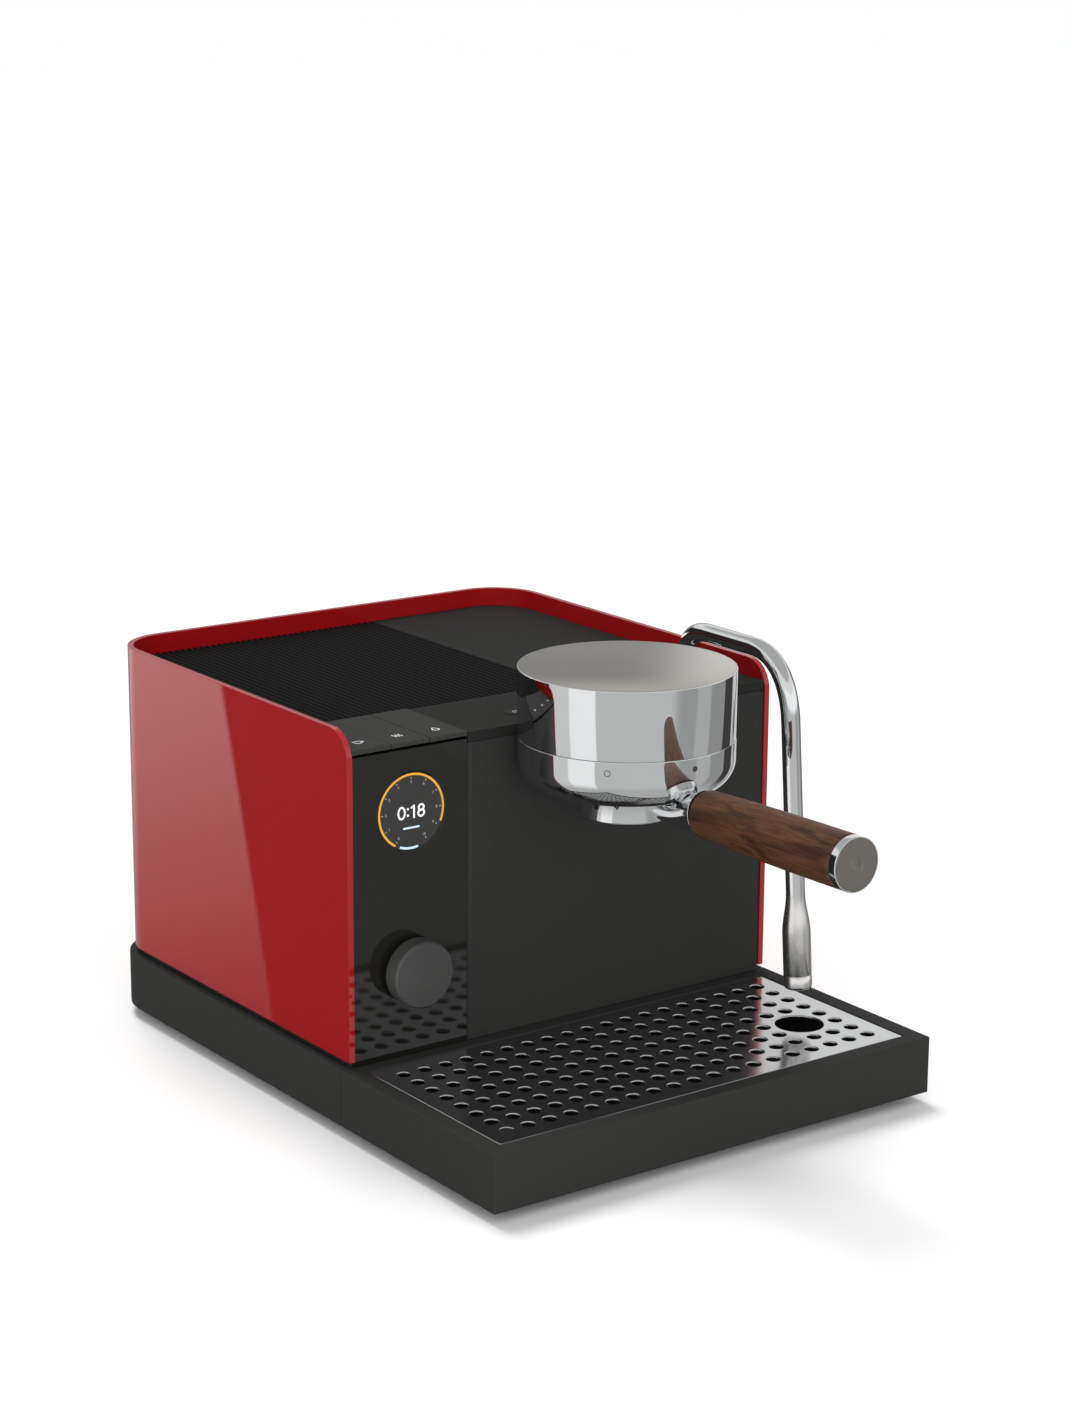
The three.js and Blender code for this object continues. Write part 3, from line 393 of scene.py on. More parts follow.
def turned(profile, place=Matrix(), sides=128):
    """Points and faces of a solid of revolution about Z; the profile holds (radius, z)."""
    points, faces, rings = [], [], []
    for r, z in profile:
        if r < 1e-6:
            rings.append([len(points)])
            points.append(place @ Vector((0, 0, z)))
            continue
        rings.append(list(range(len(points), len(points) + sides)))
        for k in range(sides):
            a = 2 * math.pi * k / sides
            points.append(place @ Vector((r * math.cos(a), r * math.sin(a), z)))
    for low, high in zip(rings, rings[1:]):
        for k in range(sides):
            j = (k + 1) % sides
            if len(low) == 1 and len(high) == 1:
                continue
            if len(low) == 1:
                faces.append((low[0], high[j], high[k]))
            elif len(high) == 1:
                faces.append((low[k], low[j], high[0]))
            else:
                faces.append((low[k], low[j], high[j], high[k]))
    return points, faces


def turned_piece(name, profile, look, place=Matrix(), sides=128, smooth=35.0):
    points, faces = turned(profile, place, sides)
    return object_from(name, points, faces, look, smooth)


def upright(x, y):
    return Matrix.Translation((x, y, 0))


def facing_front(x, z):
    """Frame whose Z runs towards the front (-Y) and whose origin is on the axis at y = 0."""
    return Matrix.Translation((x, 0, z)) @ Matrix.Rotation(math.radians(90), 4, "X")


def swept(path, radius_at, sides=32):
    """Tube along a path in a plane of constant x; radius_at gives the radius at each index."""
    points, faces = [], []
    count = len(path)
    for i, p in enumerate(path):
        along = (path[min(i + 1, count - 1)] - path[max(i - 1, 0)]).normalized()
        side = Vector((1, 0, 0))
        up = side.cross(along)
        for k in range(sides):
            a = 2 * math.pi * k / sides
            points.append(p + radius_at(i) * (math.cos(a) * side + math.sin(a) * up))
    for i in range(count - 1):
        for k in range(sides):
            j = (k + 1) % sides
            faces.append((i * sides + k, i * sides + j, (i + 1) * sides + j, (i + 1) * sides + k))
    faces.append(tuple(range(sides - 1, -1, -1)))
    faces.append(tuple(range((count - 1) * sides, count * sides)))
    return points, faces


def sheet_between(loops, low, high, lift):
    """Plate with holes between two levels; lift turns (u, v, w) into a point."""
    points, faces, start = [], [], 0
    flat = [Vector((u, v, 0)) for loop in loops for u, v in loop]
    for w in (low, high):
        points += [lift(p.x, p.y, w) for p in flat]
    count = len(flat)
    triangles = tessellate_polygon([[Vector((u, v, 0)) for u, v in loop] for loop in loops])
    for a, b, c in triangles:
        faces += [(c, b, a), (a + count, b + count, c + count)]
    for loop in loops:
        n = len(loop)
        for k in range(n):
            a, b = start + k, start + (k + 1) % n
            faces.append((a, b, b + count, a + count))
        start += n
    return points, faces


def flat_lift(u, v, w):
    return Vector((u, v, w))


def front_lift(u, v, w):
    """(x, z, depth) of a front piece; depth grows towards the front."""
    return Vector((u, -w, v))


def circle(x, y, radius, steps=64):
    return [(x + radius * math.cos(2 * math.pi * k / steps), y + radius * math.sin(2 * math.pi * k / steps))
            for k in range(steps)]


def box_piece(name, x0, x1, y0, y1, z0, z1, look):
    outline = [(x0, y0), (x1, y0), (x1, y1), (x0, y1)]
    return object_from(name, *sheet_between([outline], z0, z1, flat_lift), look)


# ---------- housing ----------
def shell_columns(inset):
    """Plan points along the U from left front to right front, each with its top height."""
    half = SHELL_HIGH.x - inset
    back = SHELL_HIGH.y - inset
    radius = SHELL_CORNER - inset
    front = SHELL_LOW.y
    columns = []
    for i in range(13):
        a = math.radians(90 * i / 12)
        drop = SHELL_NOSE * (1 - math.sin(a))
        columns.append((-half, front + SHELL_NOSE * (1 - math.cos(a)), SHELL_HIGH.z - drop))
    for x, y in arc(-half + radius, back - radius, radius, 180, 90, 28):
        columns.append((x, y, SHELL_HIGH.z))
    return columns + [(-x, y, z) for x, y, z in reversed(columns)]


def back_cutters():
    """Boxes for the vent slots and the mains inlet's hole in the back wall."""
    y_in, y_out = SHELL_HIGH.y - 8, SHELL_HIGH.y + 8
    slots, slot_pitch, slot_height, lowest_slot = 7, 8, 3, 150
    slot_left, slot_right = -95, -25
    inlet_left, inlet_right, inlet_low, inlet_top = -105.3, -74.7, 59.7, 84.3
    cutters = []
    for i in range(slots):
        z = lowest_slot + slot_pitch * i
        slot = box_piece("vent", slot_left, slot_right, y_in, y_out, z, z + slot_height, PAINTED_SHADE)
        cutters.append(slot)
    hole = box_piece("inlet_hole", inlet_left, inlet_right, y_in, y_out, inlet_low, inlet_top, PAINTED_SHADE)
    return cutters + [hole]


def housing_shell():
    outer, inner = shell_columns(0), shell_columns(SHELL_THICK)
    low, count = SHELL_LOW.z, len(outer)
    points, faces = [], []
    for x, y, top in outer + inner:
        points += [Vector((x, y, low)), Vector((x, y, top))]
    shift = 2 * count
    for i in range(count - 1):
        a, b = 2 * i, 2 * (i + 1)
        faces.append((a, b, b + 1, a + 1))
        faces.append((a + shift, a + 1 + shift, b + 1 + shift, b + shift))
        faces.append((a + 1, b + 1, b + 1 + shift, a + 1 + shift))
        faces.append((a, a + shift, b + shift, b))
    for a in (0, 2 * (count - 1)):
        faces.append((a, a + 1, a + 1 + shift, a + shift))
    shell = object_from("housing_shell_skin", points, faces, LOOKS["red_lacquer"])
    cut(shell, *back_cutters())
    shell.data.shade_smooth()
    shell.data.set_sharp_from_angle(angle=math.radians(30))
    bevelled(shell, 0.9, 4)
    return stands_for(shell, "housing_shell")


def ribbed_plate():
    """Cup plate with a smooth border and fine ribs from front to back."""
    x0, x1 = PLATE_LOW.x, PLATE_HIGH.x
    y0, y1 = PLATE_LOW.y, PLATE_HIGH.y
    top, low = PLATE_HIGH.z, PLATE_LOW.z
    pitch, depth = 4.45, 1.7
    section = [(0.0, 0.12), (0.05, 0.0), (0.3, 0.0), (0.35, 0.12), (0.5, 1.0), (0.85, 1.0)]
    border, gap = 1.5, 0.3
    corner = SHELL_CORNER - SHELL_THICK - gap
    count = int((x1 - x0 - 2 * border) / pitch)
    start = x1 - border - count * pitch
    stops = [(x0, 0.0)]
    for i in range(count):
        stops += [(start + (i + across) * pitch, depth * sink) for across, sink in section]
    stops += [(x1 - border, 0.12 * depth), (x1 - border + 0.2, 0.0), (x1, 0.0)]

    def back_at(x):
        reach = x0 + corner - x
        return y1 if reach <= 0 else y1 - corner + math.sqrt(max(corner ** 2 - reach ** 2, 0))

    points, faces = [], []
    for x, drop in stops:
        back = back_at(x)
        points += [Vector((x, y, z)) for z in (top - drop, low) for y in (y0, back)]
    for i in range(len(stops) - 1):
        a, b = 4 * i, 4 * (i + 1)
        faces += [(a, b, b + 1, a + 1), (a + 2, a + 3, b + 3, b + 2)]
        faces += [(a, a + 2, b + 2, b), (a + 1, b + 1, b + 3, a + 3)]
    last = 4 * (len(stops) - 1)
    faces += [(0, 1, 3, 2), (last, last + 2, last + 3, last + 1)]
    # The ribs wear the darkest charcoal copy: painted shade of the grooves added to the modelled ones.
    plate = object_from("warming_plate_ribs", points, faces, RIBS_PAINTED_SHADE, smooth=60.0)
    return stands_for(plate, "warming_plate")


# ---------- drip tray ----------
def outline_points(x0, y0, across, along, step):
    """Evenly spaced points round a rectangle, from its front left corner."""
    x1, y1 = x0 + across * step, y0 + along * step
    points = [(x0 + i * step, y0) for i in range(across)]
    points += [(x1, y0 + i * step) for i in range(along)]
    points += [(x1 - i * step, y1) for i in range(across)]
    return points + [(x0, y1 - i * step) for i in range(along)]


def grille_plate():
    """Polished plate: round holes on a grid, one finger hole over four cells, rounded hole edges."""
    pitch, radius, finger = 14.57, 4.2, 14.5
    columns, rows, per_side = 19, 8, 6
    finger_columns, finger_rows = (16, 17), (2, 3)
    middle_y = -77.0
    top, low = GRILLE_HIGH.z, GRILLE_LOW.z
    left = -columns * pitch / 2
    front = middle_y - rows * pitch / 2
    edge = [(0.62, 0.0), (0.5, 0.0), (0.14, -0.14), (0.0, -0.5)]
    points, faces, index = [], [], {}

    def corner(x, y, z):
        key = (round(x, 4), round(y, 4), round(z, 4))
        if key not in index:
            index[key] = len(points)
            points.append(Vector((x, y, z)))
        return index[key]

    def round_ring(cx, cy, r, z, angles):
        return [corner(cx + r * math.cos(a), cy + r * math.sin(a), z) for a in angles]

    def cell(x0, y0, size, steps, hole):
        """Square cell with a round hole at its centre."""
        side = outline_points(x0, y0, steps, steps, size / steps)
        cx, cy = x0 + size / 2, y0 + size / 2
        rings = [[corner(x, y, top) for x, y in side]]
        angles = [math.atan2(y - cy, x - cx) for x, y in side]
        for grow, sink in edge:
            rings.append(round_ring(cx, cy, hole + grow, top + sink, angles))
        rings.append(round_ring(cx, cy, hole, low, angles))
        rings.append([corner(x, y, low) for x, y in side])
        n = len(side)
        for outer, inner in zip(rings, rings[1:]):
            for k in range(n):
                faces.append((outer[k], outer[(k + 1) % n], inner[(k + 1) % n], inner[k]))

    for c in range(columns):
        for r in range(rows):
            x0 = left + c * pitch
            y0 = front + r * pitch
            if c not in finger_columns or r not in finger_rows:
                cell(x0, y0, pitch, per_side, radius)
            elif (c, r) == (finger_columns[0], finger_rows[0]):
                cell(x0, y0, 2 * pitch, 2 * per_side, finger)
    border_of_plate(corner, faces, left, front, columns, rows, pitch, per_side)
    plate = object_from("drip_grille_plate", points, faces, LOOKS["polished_steel"], smooth=50.0)
    return stands_for(plate, "drip_grille")


def border_of_plate(corner, faces, left, front, columns, rows, pitch, per_side):
    """Rim of the grille plate, from the hole grid out to its rounded edge."""
    right, back = left + columns * pitch, front + rows * pitch
    top, low = GRILLE_HIGH.z, GRILLE_LOW.z
    grid = outline_points(left, front, columns * per_side, rows * per_side, pitch / per_side)
    x_low, x_high, y_low, y_high = GRILLE_LOW.x, GRILLE_HIGH.x, GRILLE_LOW.y, GRILLE_HIGH.y

    def ring(inset, z):
        """Grid points moved out to the plate's edge, less an inset."""
        loop = []
        for x, y in grid:
            u = (x - left) / (right - left)
            v = (y - front) / (back - front)
            loop.append(corner(
                x_low + inset + u * (x_high - x_low - 2 * inset),
                y_low + inset + v * (y_high - y_low - 2 * inset), z))
        return loop

    edge = [(0.85, top), (0.7, top), (0.2, top - 0.2), (0.0, top - 0.7), (0.0, low)]
    loops = [[corner(x, y, top) for x, y in grid]]
    loops += [ring(inset, z) for inset, z in edge]
    loops.append([corner(x, y, low) for x, y in grid])
    n = len(grid)
    for outer, inner in zip(loops, loops[1:]):
        for k in range(n):
            faces.append((outer[k], outer[(k + 1) % n], inner[(k + 1) % n], inner[k]))


def grille_plug():
    low, high = low_high("grille_plug")
    x, y = (low.x + high.x) / 2, (low.y + high.y) / 2
    r, bottom, top = 4.05, low.z, high.z
    profile = [
        (0, bottom), (r - 0.8, bottom), (r, bottom + 1), (r, top - 1.2), (r - 0.3, top - 0.9),
        (r - 1.2, top - 0.7), (0.8, top - 1.3), (0, top - 1.3),
    ]
    plug = turned_piece("grille_plug_rubber", profile, LOOKS["rubber"], upright(x, y), 40)
    return stands_for(plug, "grille_plug")


# ---------- controls ----------
def dial_knob():
    front, back, r, hub = -DIAL_LOW.y, -DIAL_HIGH.y, DIAL_RADIUS, 15
    profile = [(0, front), (r - 1.7, front)]
    profile += arc(r - 1.2, front - 0.5, 0.5, 90, 60, 3)
    profile += [(r - 0.25, front - 1.1)] + arc(r - 0.6, front - 1.6, 0.6, 30, 0, 3)
    profile += [(r, back + 2.2), (r - 0.5, back + 1.7)]
    profile += [(hub + 0.2, back + 1.7), (hub, back + 1.4), (hub, back), (0, back)]
    knob = turned_piece("dial_knob_cap", profile, KNOB, facing_front(DIAL_X, DIAL_Z), 160, 28.0)
    return stands_for(knob, "dial_knob")


def power_button():
    x, y = (POWER_LOW.x + POWER_HIGH.x) / 2, (POWER_LOW.y + POWER_HIGH.y) / 2
    r = (POWER_HIGH.x - POWER_LOW.x) / 2
    top, low, stem, flange = POWER_HIGH.z, POWER_LOW.z, 2.5, POWER_HIGH.z - 4.6
    profile = [(0, low), (stem, low), (stem, flange), (r, flange), (r, top - 0.5)]
    profile += arc(r - 0.5, top - 0.5, 0.5, 0, 90, 5) + [(r - 1.4, top - 0.25), (0, top - 0.45)]
    button = turned_piece("power_button_cap", profile, LOOKS["charcoal_plastic"], upright(x, y), 72)
    stands_for(button, "power_button")
    ring = [circle(x, y, 2.2, 40), circle(x, y, 1.8, 40)]
    mark = object_from("power_mark", *sheet_between(ring, top - 0.45, top - 0.35, flat_lift), ICON_WHITE)
    trim(mark, "power_button")


def band(points, width, closed=False):
    """Outline loops of a line of even width in the plane."""
    left, right = [], []
    count = len(points)
    for i, (x, y) in enumerate(points):
        before = points[i - 1] if i or closed else points[i]
        after = points[(i + 1) % count] if i + 1 < count or closed else points[i]
        dx, dy = after[0] - before[0], after[1] - before[1]
        size = math.hypot(dx, dy) or 1.0
        nx, ny = -dy / size * width / 2, dx / size * width / 2
        left.append((x + nx, y + ny))
        right.append((x - nx, y - ny))
    return [left, right] if closed else [left + right[::-1]]


def middle_x(node):
    low, high = low_high(node)
    return (low.x + high.x) / 2


def key_icon(name, loops, node):
    top = low_high(node)[1].z
    mark = object_from(name, *sheet_between(loops, top + 0.01, top + 0.1, flat_lift), ICON_WHITE)
    trim(mark, node)


def key_icons():
    """Generic marks near the keys' front edges: a cup, a puff of steam and a drop."""
    for node in ("key_brew", "key_steam", "key_water"):
        refined(node, 0.35, 3, KEYS)
    y, line = 11.0, 0.8
    x = middle_x("key_brew")
    cup = [(-2.8, 1.9), (2.2, 1.9), (1.8, -1.3), (0.7, -2.3), (-1.3, -2.3), (-2.4, -1.3)]
    cup = [(x + across, y + along) for across, along in cup]
    key_icon("icon_cup", band(cup, line, closed=True), "key_brew")
    loop = [(x + across, y + along) for across, along in [(2.4, 1.3), (3.7, 1.0), (3.7, -0.3), (2.2, -0.7)]]
    key_icon("icon_cup_handle", band(loop, 0.7), "key_brew")
    x = middle_x("key_steam")
    sway, height, steps = 0.6, 4.6, 8
    for i, shift in enumerate((-2.0, 0.0, 2.0)):
        wave = []
        for t in range(steps + 1):
            share = t / steps
            wave.append((x + shift + sway * math.sin(share * 2 * math.pi), y - height / 2 + height * share))
        key_icon(f"icon_steam_{i + 1}", band(wave, line), "key_steam")
    x = middle_x("key_water")
    drop = [(x, y + 3.3)] + arc(x, y - 0.6, 2.1, 40, -220, 13)
    key_icon("icon_drop", band(drop, line, closed=True), "key_water")


# ---------- display ----------
def ring_sector(radius, width, start, end, steps=64):
    """Loop of a ring sector about the display's centre; degrees, clockwise from the top."""
    outer, inner = [], []
    for i in range(steps + 1):
        a = math.radians(start + (end - start) * i / steps)
        outer.append((LENS_X + radius * math.sin(a), LENS_Z + radius * math.cos(a)))
        inner.append((LENS_X + (radius - width) * math.sin(a), LENS_Z + (radius - width) * math.cos(a)))
    return [outer + inner[::-1]]


def display_mark(name, loops, look, lift=0.06):
    front = -LENS_LOW.y
    mark = object_from(name, *sheet_between(loops, front + 0.005, front + lift, front_lift), look)
    mark.visible_glossy = False
    trim(mark, "display_lens")


def display_text(name, text, size, x, z, look):
    """Generic figures as thin solid letters on the display."""
    curve = bpy.data.curves.new(name, "FONT")
    curve.body = text
    curve.size = size * MM
    curve.align_x = "CENTER"
    curve.align_y = "CENTER"
    curve.extrude = 0.03 * MM
    curve.offset = 0.004 * size * MM
    letters = bpy.data.objects.new(name + "_curve", curve)
    bpy.context.scene.collection.objects.link(letters)
    mesh = bpy.data.meshes.new_from_object(letters.evaluated_get(bpy.context.evaluated_depsgraph_get()))
    bpy.data.objects.remove(letters)
    place = Matrix.Translation(to_row((x, LENS_LOW.y - 0.04, z))) @ Matrix.Rotation(math.radians(90), 4, "X")
    mesh.transform(place)
    mesh.materials.clear()
    mesh.materials.append(look)
    piece = bpy.data.objects.new(name, mesh)
    bpy.context.scene.collection.objects.link(piece)
    piece.visible_glossy = False
    trim(piece, "display_lens")


def display():
    """Glass lens with a scale from 0 to 10 round its screen, the time and a bar."""
    screen, arc_width, tick, figure = 22.5, 1.35, 20.3, 17.3
    zero_angle, angle_step, shown_to = -150, 30, 114
    gap_filled = 0.24
    refined("display_panel", 0.25, 3)
    front, back, r = -LENS_LOW.y, -LENS_HIGH.y, LENS_RADIUS + gap_filled
    profile = [(0, back), (r, back), (r, front - 0.1)]
    profile += arc(r - 0.1, front - 0.1, 0.1, 0, 90, 4) + [(0, front)]
    place = facing_front(LENS_X, LENS_Z)
    lens = turned_piece("display_lens_glass", profile, LOOKS["gloss_black"], place, 128)
    stands_for(lens, "display_lens")
    display_mark("display_screen", [circle(LENS_X, LENS_Z, screen, 128)], SCREEN, 0.03)
    display_mark("display_arc", ring_sector(screen, arc_width, zero_angle, shown_to), MARK_YELLOW)
    display_mark("display_low_arc", ring_sector(screen, arc_width, 168, 201, 16), MARK_BLUE)
    for i in range(11):
        angle = zero_angle + angle_step * i
        display_mark(f"display_tick_{i}", ring_sector(tick, 1.1, angle - 0.8, angle + 0.8, 2), MARK_GREY)
        a = math.radians(angle)
        x, z = LENS_X + figure * math.sin(a), LENS_Z + figure * math.cos(a)
        display_text(f"display_figure_{i}", str(i), 2.3, x, z, MARK_GREY)
    display_time()
    left, right, low, top = LENS_X - 5.6, LENS_X + 5.6, LENS_Z - 10.3, LENS_Z - 9.2
    display_mark("display_bar", [[(left, low), (right, low), (right, top), (left, top)]], MARK_BLUE)


def display_time():
    """The large figures 0:18, drawn with an even line."""
    line, half = 1.15, 3.4
    z = LENS_Z - 0.4

    def oval(x, centre_z, width, height):
        return [(x + width * u, centre_z + height * v) for u, v in circle(0, 0, 1, 48)]

    x = LENS_X - 6.6
    display_mark("display_time_0", band(oval(x, z, 2.2, half), line, closed=True), MARK_WHITE)
    for name, dot_z in (("display_time_dot_low", z - 1.9), ("display_time_dot_high", z + 1.9)):
        display_mark(name, [circle(LENS_X - 2.3, dot_z, 0.75, 20)], MARK_WHITE)
    x = LENS_X + 1.9
    display_mark("display_time_1", band([(x, z + half + 0.5), (x, z - half - 0.5)], line), MARK_WHITE)
    display_mark("display_time_1_flag", band([(x - 2.1, z + 2.2), (x, z + half)], line), MARK_WHITE, 0.07)
    x = LENS_X + 6.8
    display_mark("display_time_8_high", band(oval(x, z + 1.75, 1.75, 1.65), line, closed=True), MARK_WHITE)
    lower = band(oval(x, z - 1.55, 2.05, 1.85), line, closed=True)
    display_mark("display_time_8_low", lower, MARK_WHITE, 0.07)


# ---------- brew group ----------
ON_GROUP = upright(GROUP_X, GROUP_Y)


def group_sleeve():
    r, low, top = GROUP_RADIUS, SLEEVE_LOW.z - 0.25, SLEEVE_HIGH.z
    inner, lip, floor_z = r - 2.4, r - 0.75, top - 3.4
    profile = [(inner, low), (r - 0.15, low)] + arc(r - 0.15, low + 0.15, 0.15, -90, 0, 3)
    profile += [(r, top - 0.55)] + arc(r - 0.55, top - 0.55, 0.55, 0, 90, 8)
    profile += [(lip, top), (lip, floor_z), (inner, floor_z), (inner, low)]
    sleeve = turned_piece("group_sleeve_chrome", profile, LOOKS["chrome"], ON_GROUP, 192, 50)
    return stands_for(sleeve, "group_sleeve")


def group_cap():
    r = GROUP_RADIUS - 0.8
    low, top = CAP_LOW.z, CAP_HIGH.z
    profile = [(0, low), (r, low), (r, top - 0.2)] + arc(r - 0.2, top - 0.2, 0.2, 0, 90, 4) + [(0, top)]
    cap = turned_piece("group_cap_disc", profile, LOOKS["satin_metal"], ON_GROUP, 192)
    return stands_for(cap, "group_cap")


def group_skirt():
    r, low, top = GROUP_RADIUS, SKIRT_LOW.z, SKIRT_HIGH.z
    bend, wall, hole = 18.0, 2.4, 38.0
    profile = [(hole, low + 0.4), (hole + 0.4, low)] + arc(r - bend, low + bend, bend, -90, 0, 24)
    profile += [(r, top - 0.6)] + arc(r - 0.6, top - 0.6, 0.6, 0, 90, 6)
    profile += [(r - wall, top)] + arc(r - bend, low + bend, bend - wall, 0, -90, 16)
    profile += [(hole, low + wall), (hole, low + 0.4)]
    skirt = turned_piece("group_skirt_chrome", profile, LOOKS["chrome"], ON_GROUP, 192, 50)
    cut(skirt, box_piece("neck_window", -16, 38, 0, 40, 195, 215, PAINTED_SHADE))
    skirt.data.shade_smooth()
    skirt.data.set_sharp_from_angle(angle=math.radians(50))
    stands_for(skirt, "group_skirt")
    lock_mark("lock_mark_open", -47.1, 1.9, 1.5)
    lock_mark("lock_mark_closed", 0.0, 1.7, 0.0)


def lock_mark(name, degrees, radius, hole):
    """Round mark wrapped on the skirt; 0 degrees is straight ahead, negative towards the left."""
    z0, lift = 212.0, 0.04
    steps = 40
    points, faces = [], []
    for r in (hole, radius):
        for k in range(steps):
            a = 2 * math.pi * k / steps
            turn = math.radians(degrees) + r * math.cos(a) / GROUP_RADIUS
            for out in (0.005, lift):
                reach = GROUP_RADIUS + out
                x, y = GROUP_X + reach * math.sin(turn), GROUP_Y - reach * math.cos(turn)
                points.append(Vector((x, y, z0 + r * math.sin(a))))
    shift = 2 * steps
    for k in range(steps):
        a, b = 2 * k, 2 * ((k + 1) % steps)
        faces += [(a + 1, b + 1, b + 1 + shift, a + 1 + shift), (a, a + shift, b + shift, b)]
        faces.append((a + shift, a + 1 + shift, b + 1 + shift, b + shift))
        if hole:
            faces.append((a, b, b + 1, a + 1))
    mark = object_from(name, points, faces, PRINT_GREY)
    trim(mark, "group_skirt")


# ---------- portafilter ----------
HANDLE_TILT = math.radians(1)
HANDLE_Z = 187.1


def on_handle():
    """Frame whose Z runs out along the handle from the group axis."""
    return (Matrix.Translation((GROUP_X, GROUP_Y, HANDLE_Z)) @ Matrix.Rotation(-HANDLE_TILT, 4, "X")
            @ Matrix.Rotation(math.radians(90), 4, "X"))


def smooth_between(stations, steps):
    """Dense stations through a few (y, z, radius) ones, by Catmull-Rom."""
    dense = []
    padded = [stations[0]] + stations + [stations[-1]]
    for i in range(1, len(padded) - 2):
        a, b, c, d = (Vector(padded[i + k]) for k in (-1, 0, 1, 2))
        for s in range(steps):
            t = s / steps
            point = 2 * b + (c - a) * t
            point += (2 * a - 5 * b + 4 * c - d) * t ** 2
            point += (3 * b - a - 3 * c + d) * t ** 3
            dense.append(0.5 * point)
    return dense + [Vector(stations[-1])]


def portafilter():
    """Chrome pot with collar, lugs and cast neck; the two outlets are discs of painted shade."""
    pot_r, collar_r = 28.5, 36.2
    bottom, rim, lug_low, lug_top = POT_BOTTOM, 199.4, 193, 196.5
    profile = [(0, bottom), (pot_r - 1.6, bottom)] + arc(pot_r - 1.6, bottom + 1.6, 1.6, -90, 0, 6)
    profile += [(pot_r, 186.6), (pot_r + 0.6, 187.4), (collar_r - 0.4, 187.6), (collar_r, 188)]
    profile += [(collar_r, rim - 0.3), (collar_r - 0.3, rim)]
    profile += [(31.9, rim), (31.9, 189), (26, 184), (26, 174), (0, 174)]
    pot = turned_piece("portafilter_pot", profile, LOOKS["chrome"], ON_GROUP, 144, 40)
    stands_for(pot, "portafilter_body")
    tilt = math.sin(HANDLE_TILT)
    stations = [
        (-22, 180.6, 4.8), (-30, 180.6, 5.0), (-38, 180.8, 5.7), (-46, 181.5, 6.9),
        (-54, 182.9, 8.5), (-62, 185.1, 10.4), (-69, 187.3, 12.2), (-74.4, HANDLE_Z + 74.4 * tilt, 13.6),
    ]
    dense = smooth_between(stations, 8)
    path = [Vector((GROUP_X, GROUP_Y + s.x, s.y)) for s in dense]
    neck = object_from("portafilter_neck", *swept(path, lambda i: dense[i].z, 64), LOOKS["chrome"], 50)
    bevelled(neck, 0.4, 3, 60)
    trim(neck, "portafilter_body")
    lug_shape = [(33, -12), (38.1, -12), (39.9, 0), (38.1, 12), (33, 12)]
    sides = (("left", -1), ("right", 1))
    for word, side in sides:
        outline = [(GROUP_X + side * across, GROUP_Y + along) for across, along in lug_shape]
        solid = sheet_between([outline[::side]], lug_low, lug_top, flat_lift)
        lug = object_from(f"portafilter_lug_{word}", *solid, LOOKS["chrome"])
        bevelled(lug, 0.4)
        trim(lug, "portafilter_body")
    # Thin near-black discs on the pot's bottom: painted shade where the two outlets are, standing for their
    # holes.
    shade_disc_profile = [(0, bottom - 0.02), (3, bottom - 0.02), (3, bottom + 0.6), (0, bottom + 0.6)]
    for word, side in sides:
        outlet_shade = turned_piece(f"outlet_{word}", shade_disc_profile, PAINTED_SHADE, upright(GROUP_X + 10 * side, GROUP_Y), 32)
        trim(outlet_shade, "portafilter_body")


def filter_basket():
    profile = [(0, 176)] + arc(23.6, 177.8, 1.8, -90, 0, 6)
    profile += [(25.4, 183.6), (31.3, 188.9), (31.3, 199.8), (35.2, 199.8)]
    profile += arc(35.0, 200.5, 0.6, -60, 90, 8)
    profile += [(30.6, 201.1), (30.2, 200.7), (30.2, 189.4), (24.4, 184), (24.4, 177.2), (0, 177.2)]
    basket = turned_piece("filter_basket_cup", profile, LOOKS["polished_steel"], ON_GROUP, 120, 40)
    return stands_for(basket, "filter_basket")


def handle():
    """Walnut grip that swells towards its end, with a chrome band and a turned cap."""
    start, end, tail = 74.7, 195.9, 200.85
    r_in, r_out = 13.9, 15.5
    grip = [(0, start + 0.3), (r_in - 0.8, start + 0.3)] + arc(r_in - 0.8, start + 1.1, 0.8, -90, 0, 4)
    for i in range(1, 40):
        t = i / 40
        belly = 0.35 * math.sin(math.pi * t)
        grip.append((r_in + (r_out - r_in) * t ** 0.8 + belly, start + 1.5 + (end - 0.5 - start - 1.5) * t))
    grip += [(r_out, end - 0.5), (r_out - 0.2, end - 0.3), (0, end - 0.3)]
    stands_for(turned_piece("handle_grip_wood", grip, LOOKS["walnut"], on_handle(), 128, 50), "handle_grip")
    ring = [(0, end), (r_out - 0.15, end), (r_out, end + 0.15), (r_out, tail - 0.4)]
    ring += arc(r_out - 0.4, tail - 0.4, 0.4, 0, 90, 6)
    ring += [(14.8, tail), (14.7, tail - 0.1), (14.7, tail - 2), (0, tail - 2)]
    stands_for(turned_piece("handle_band_ring", ring, LOOKS["chrome"], on_handle(), 128, 40), "handle_band")
    cap = [(0, tail - 1.7), (14.55, tail - 1.7), (14.55, tail - 0.3), (14.35, tail - 0.1), (4.4, tail - 0.1)]
    cap += [(4.2, tail - 0.3), (3.6, tail - 0.3), (3.4, tail - 0.1)] + [(1.8, tail - 0.35), (0, tail - 0.6)]
    stands_for(turned_piece("handle_cap_disc", cap, LOOKS["turned_metal"], on_handle(), 96, 30), "handle_cap")


# ---------- steam wand ----------
WAND_RADIUS = 5.8
WAND_LEVEL = 253.7
TIP_TOP = (-75.6, 101.0)
TIP_END = (-79.6, 51.5)


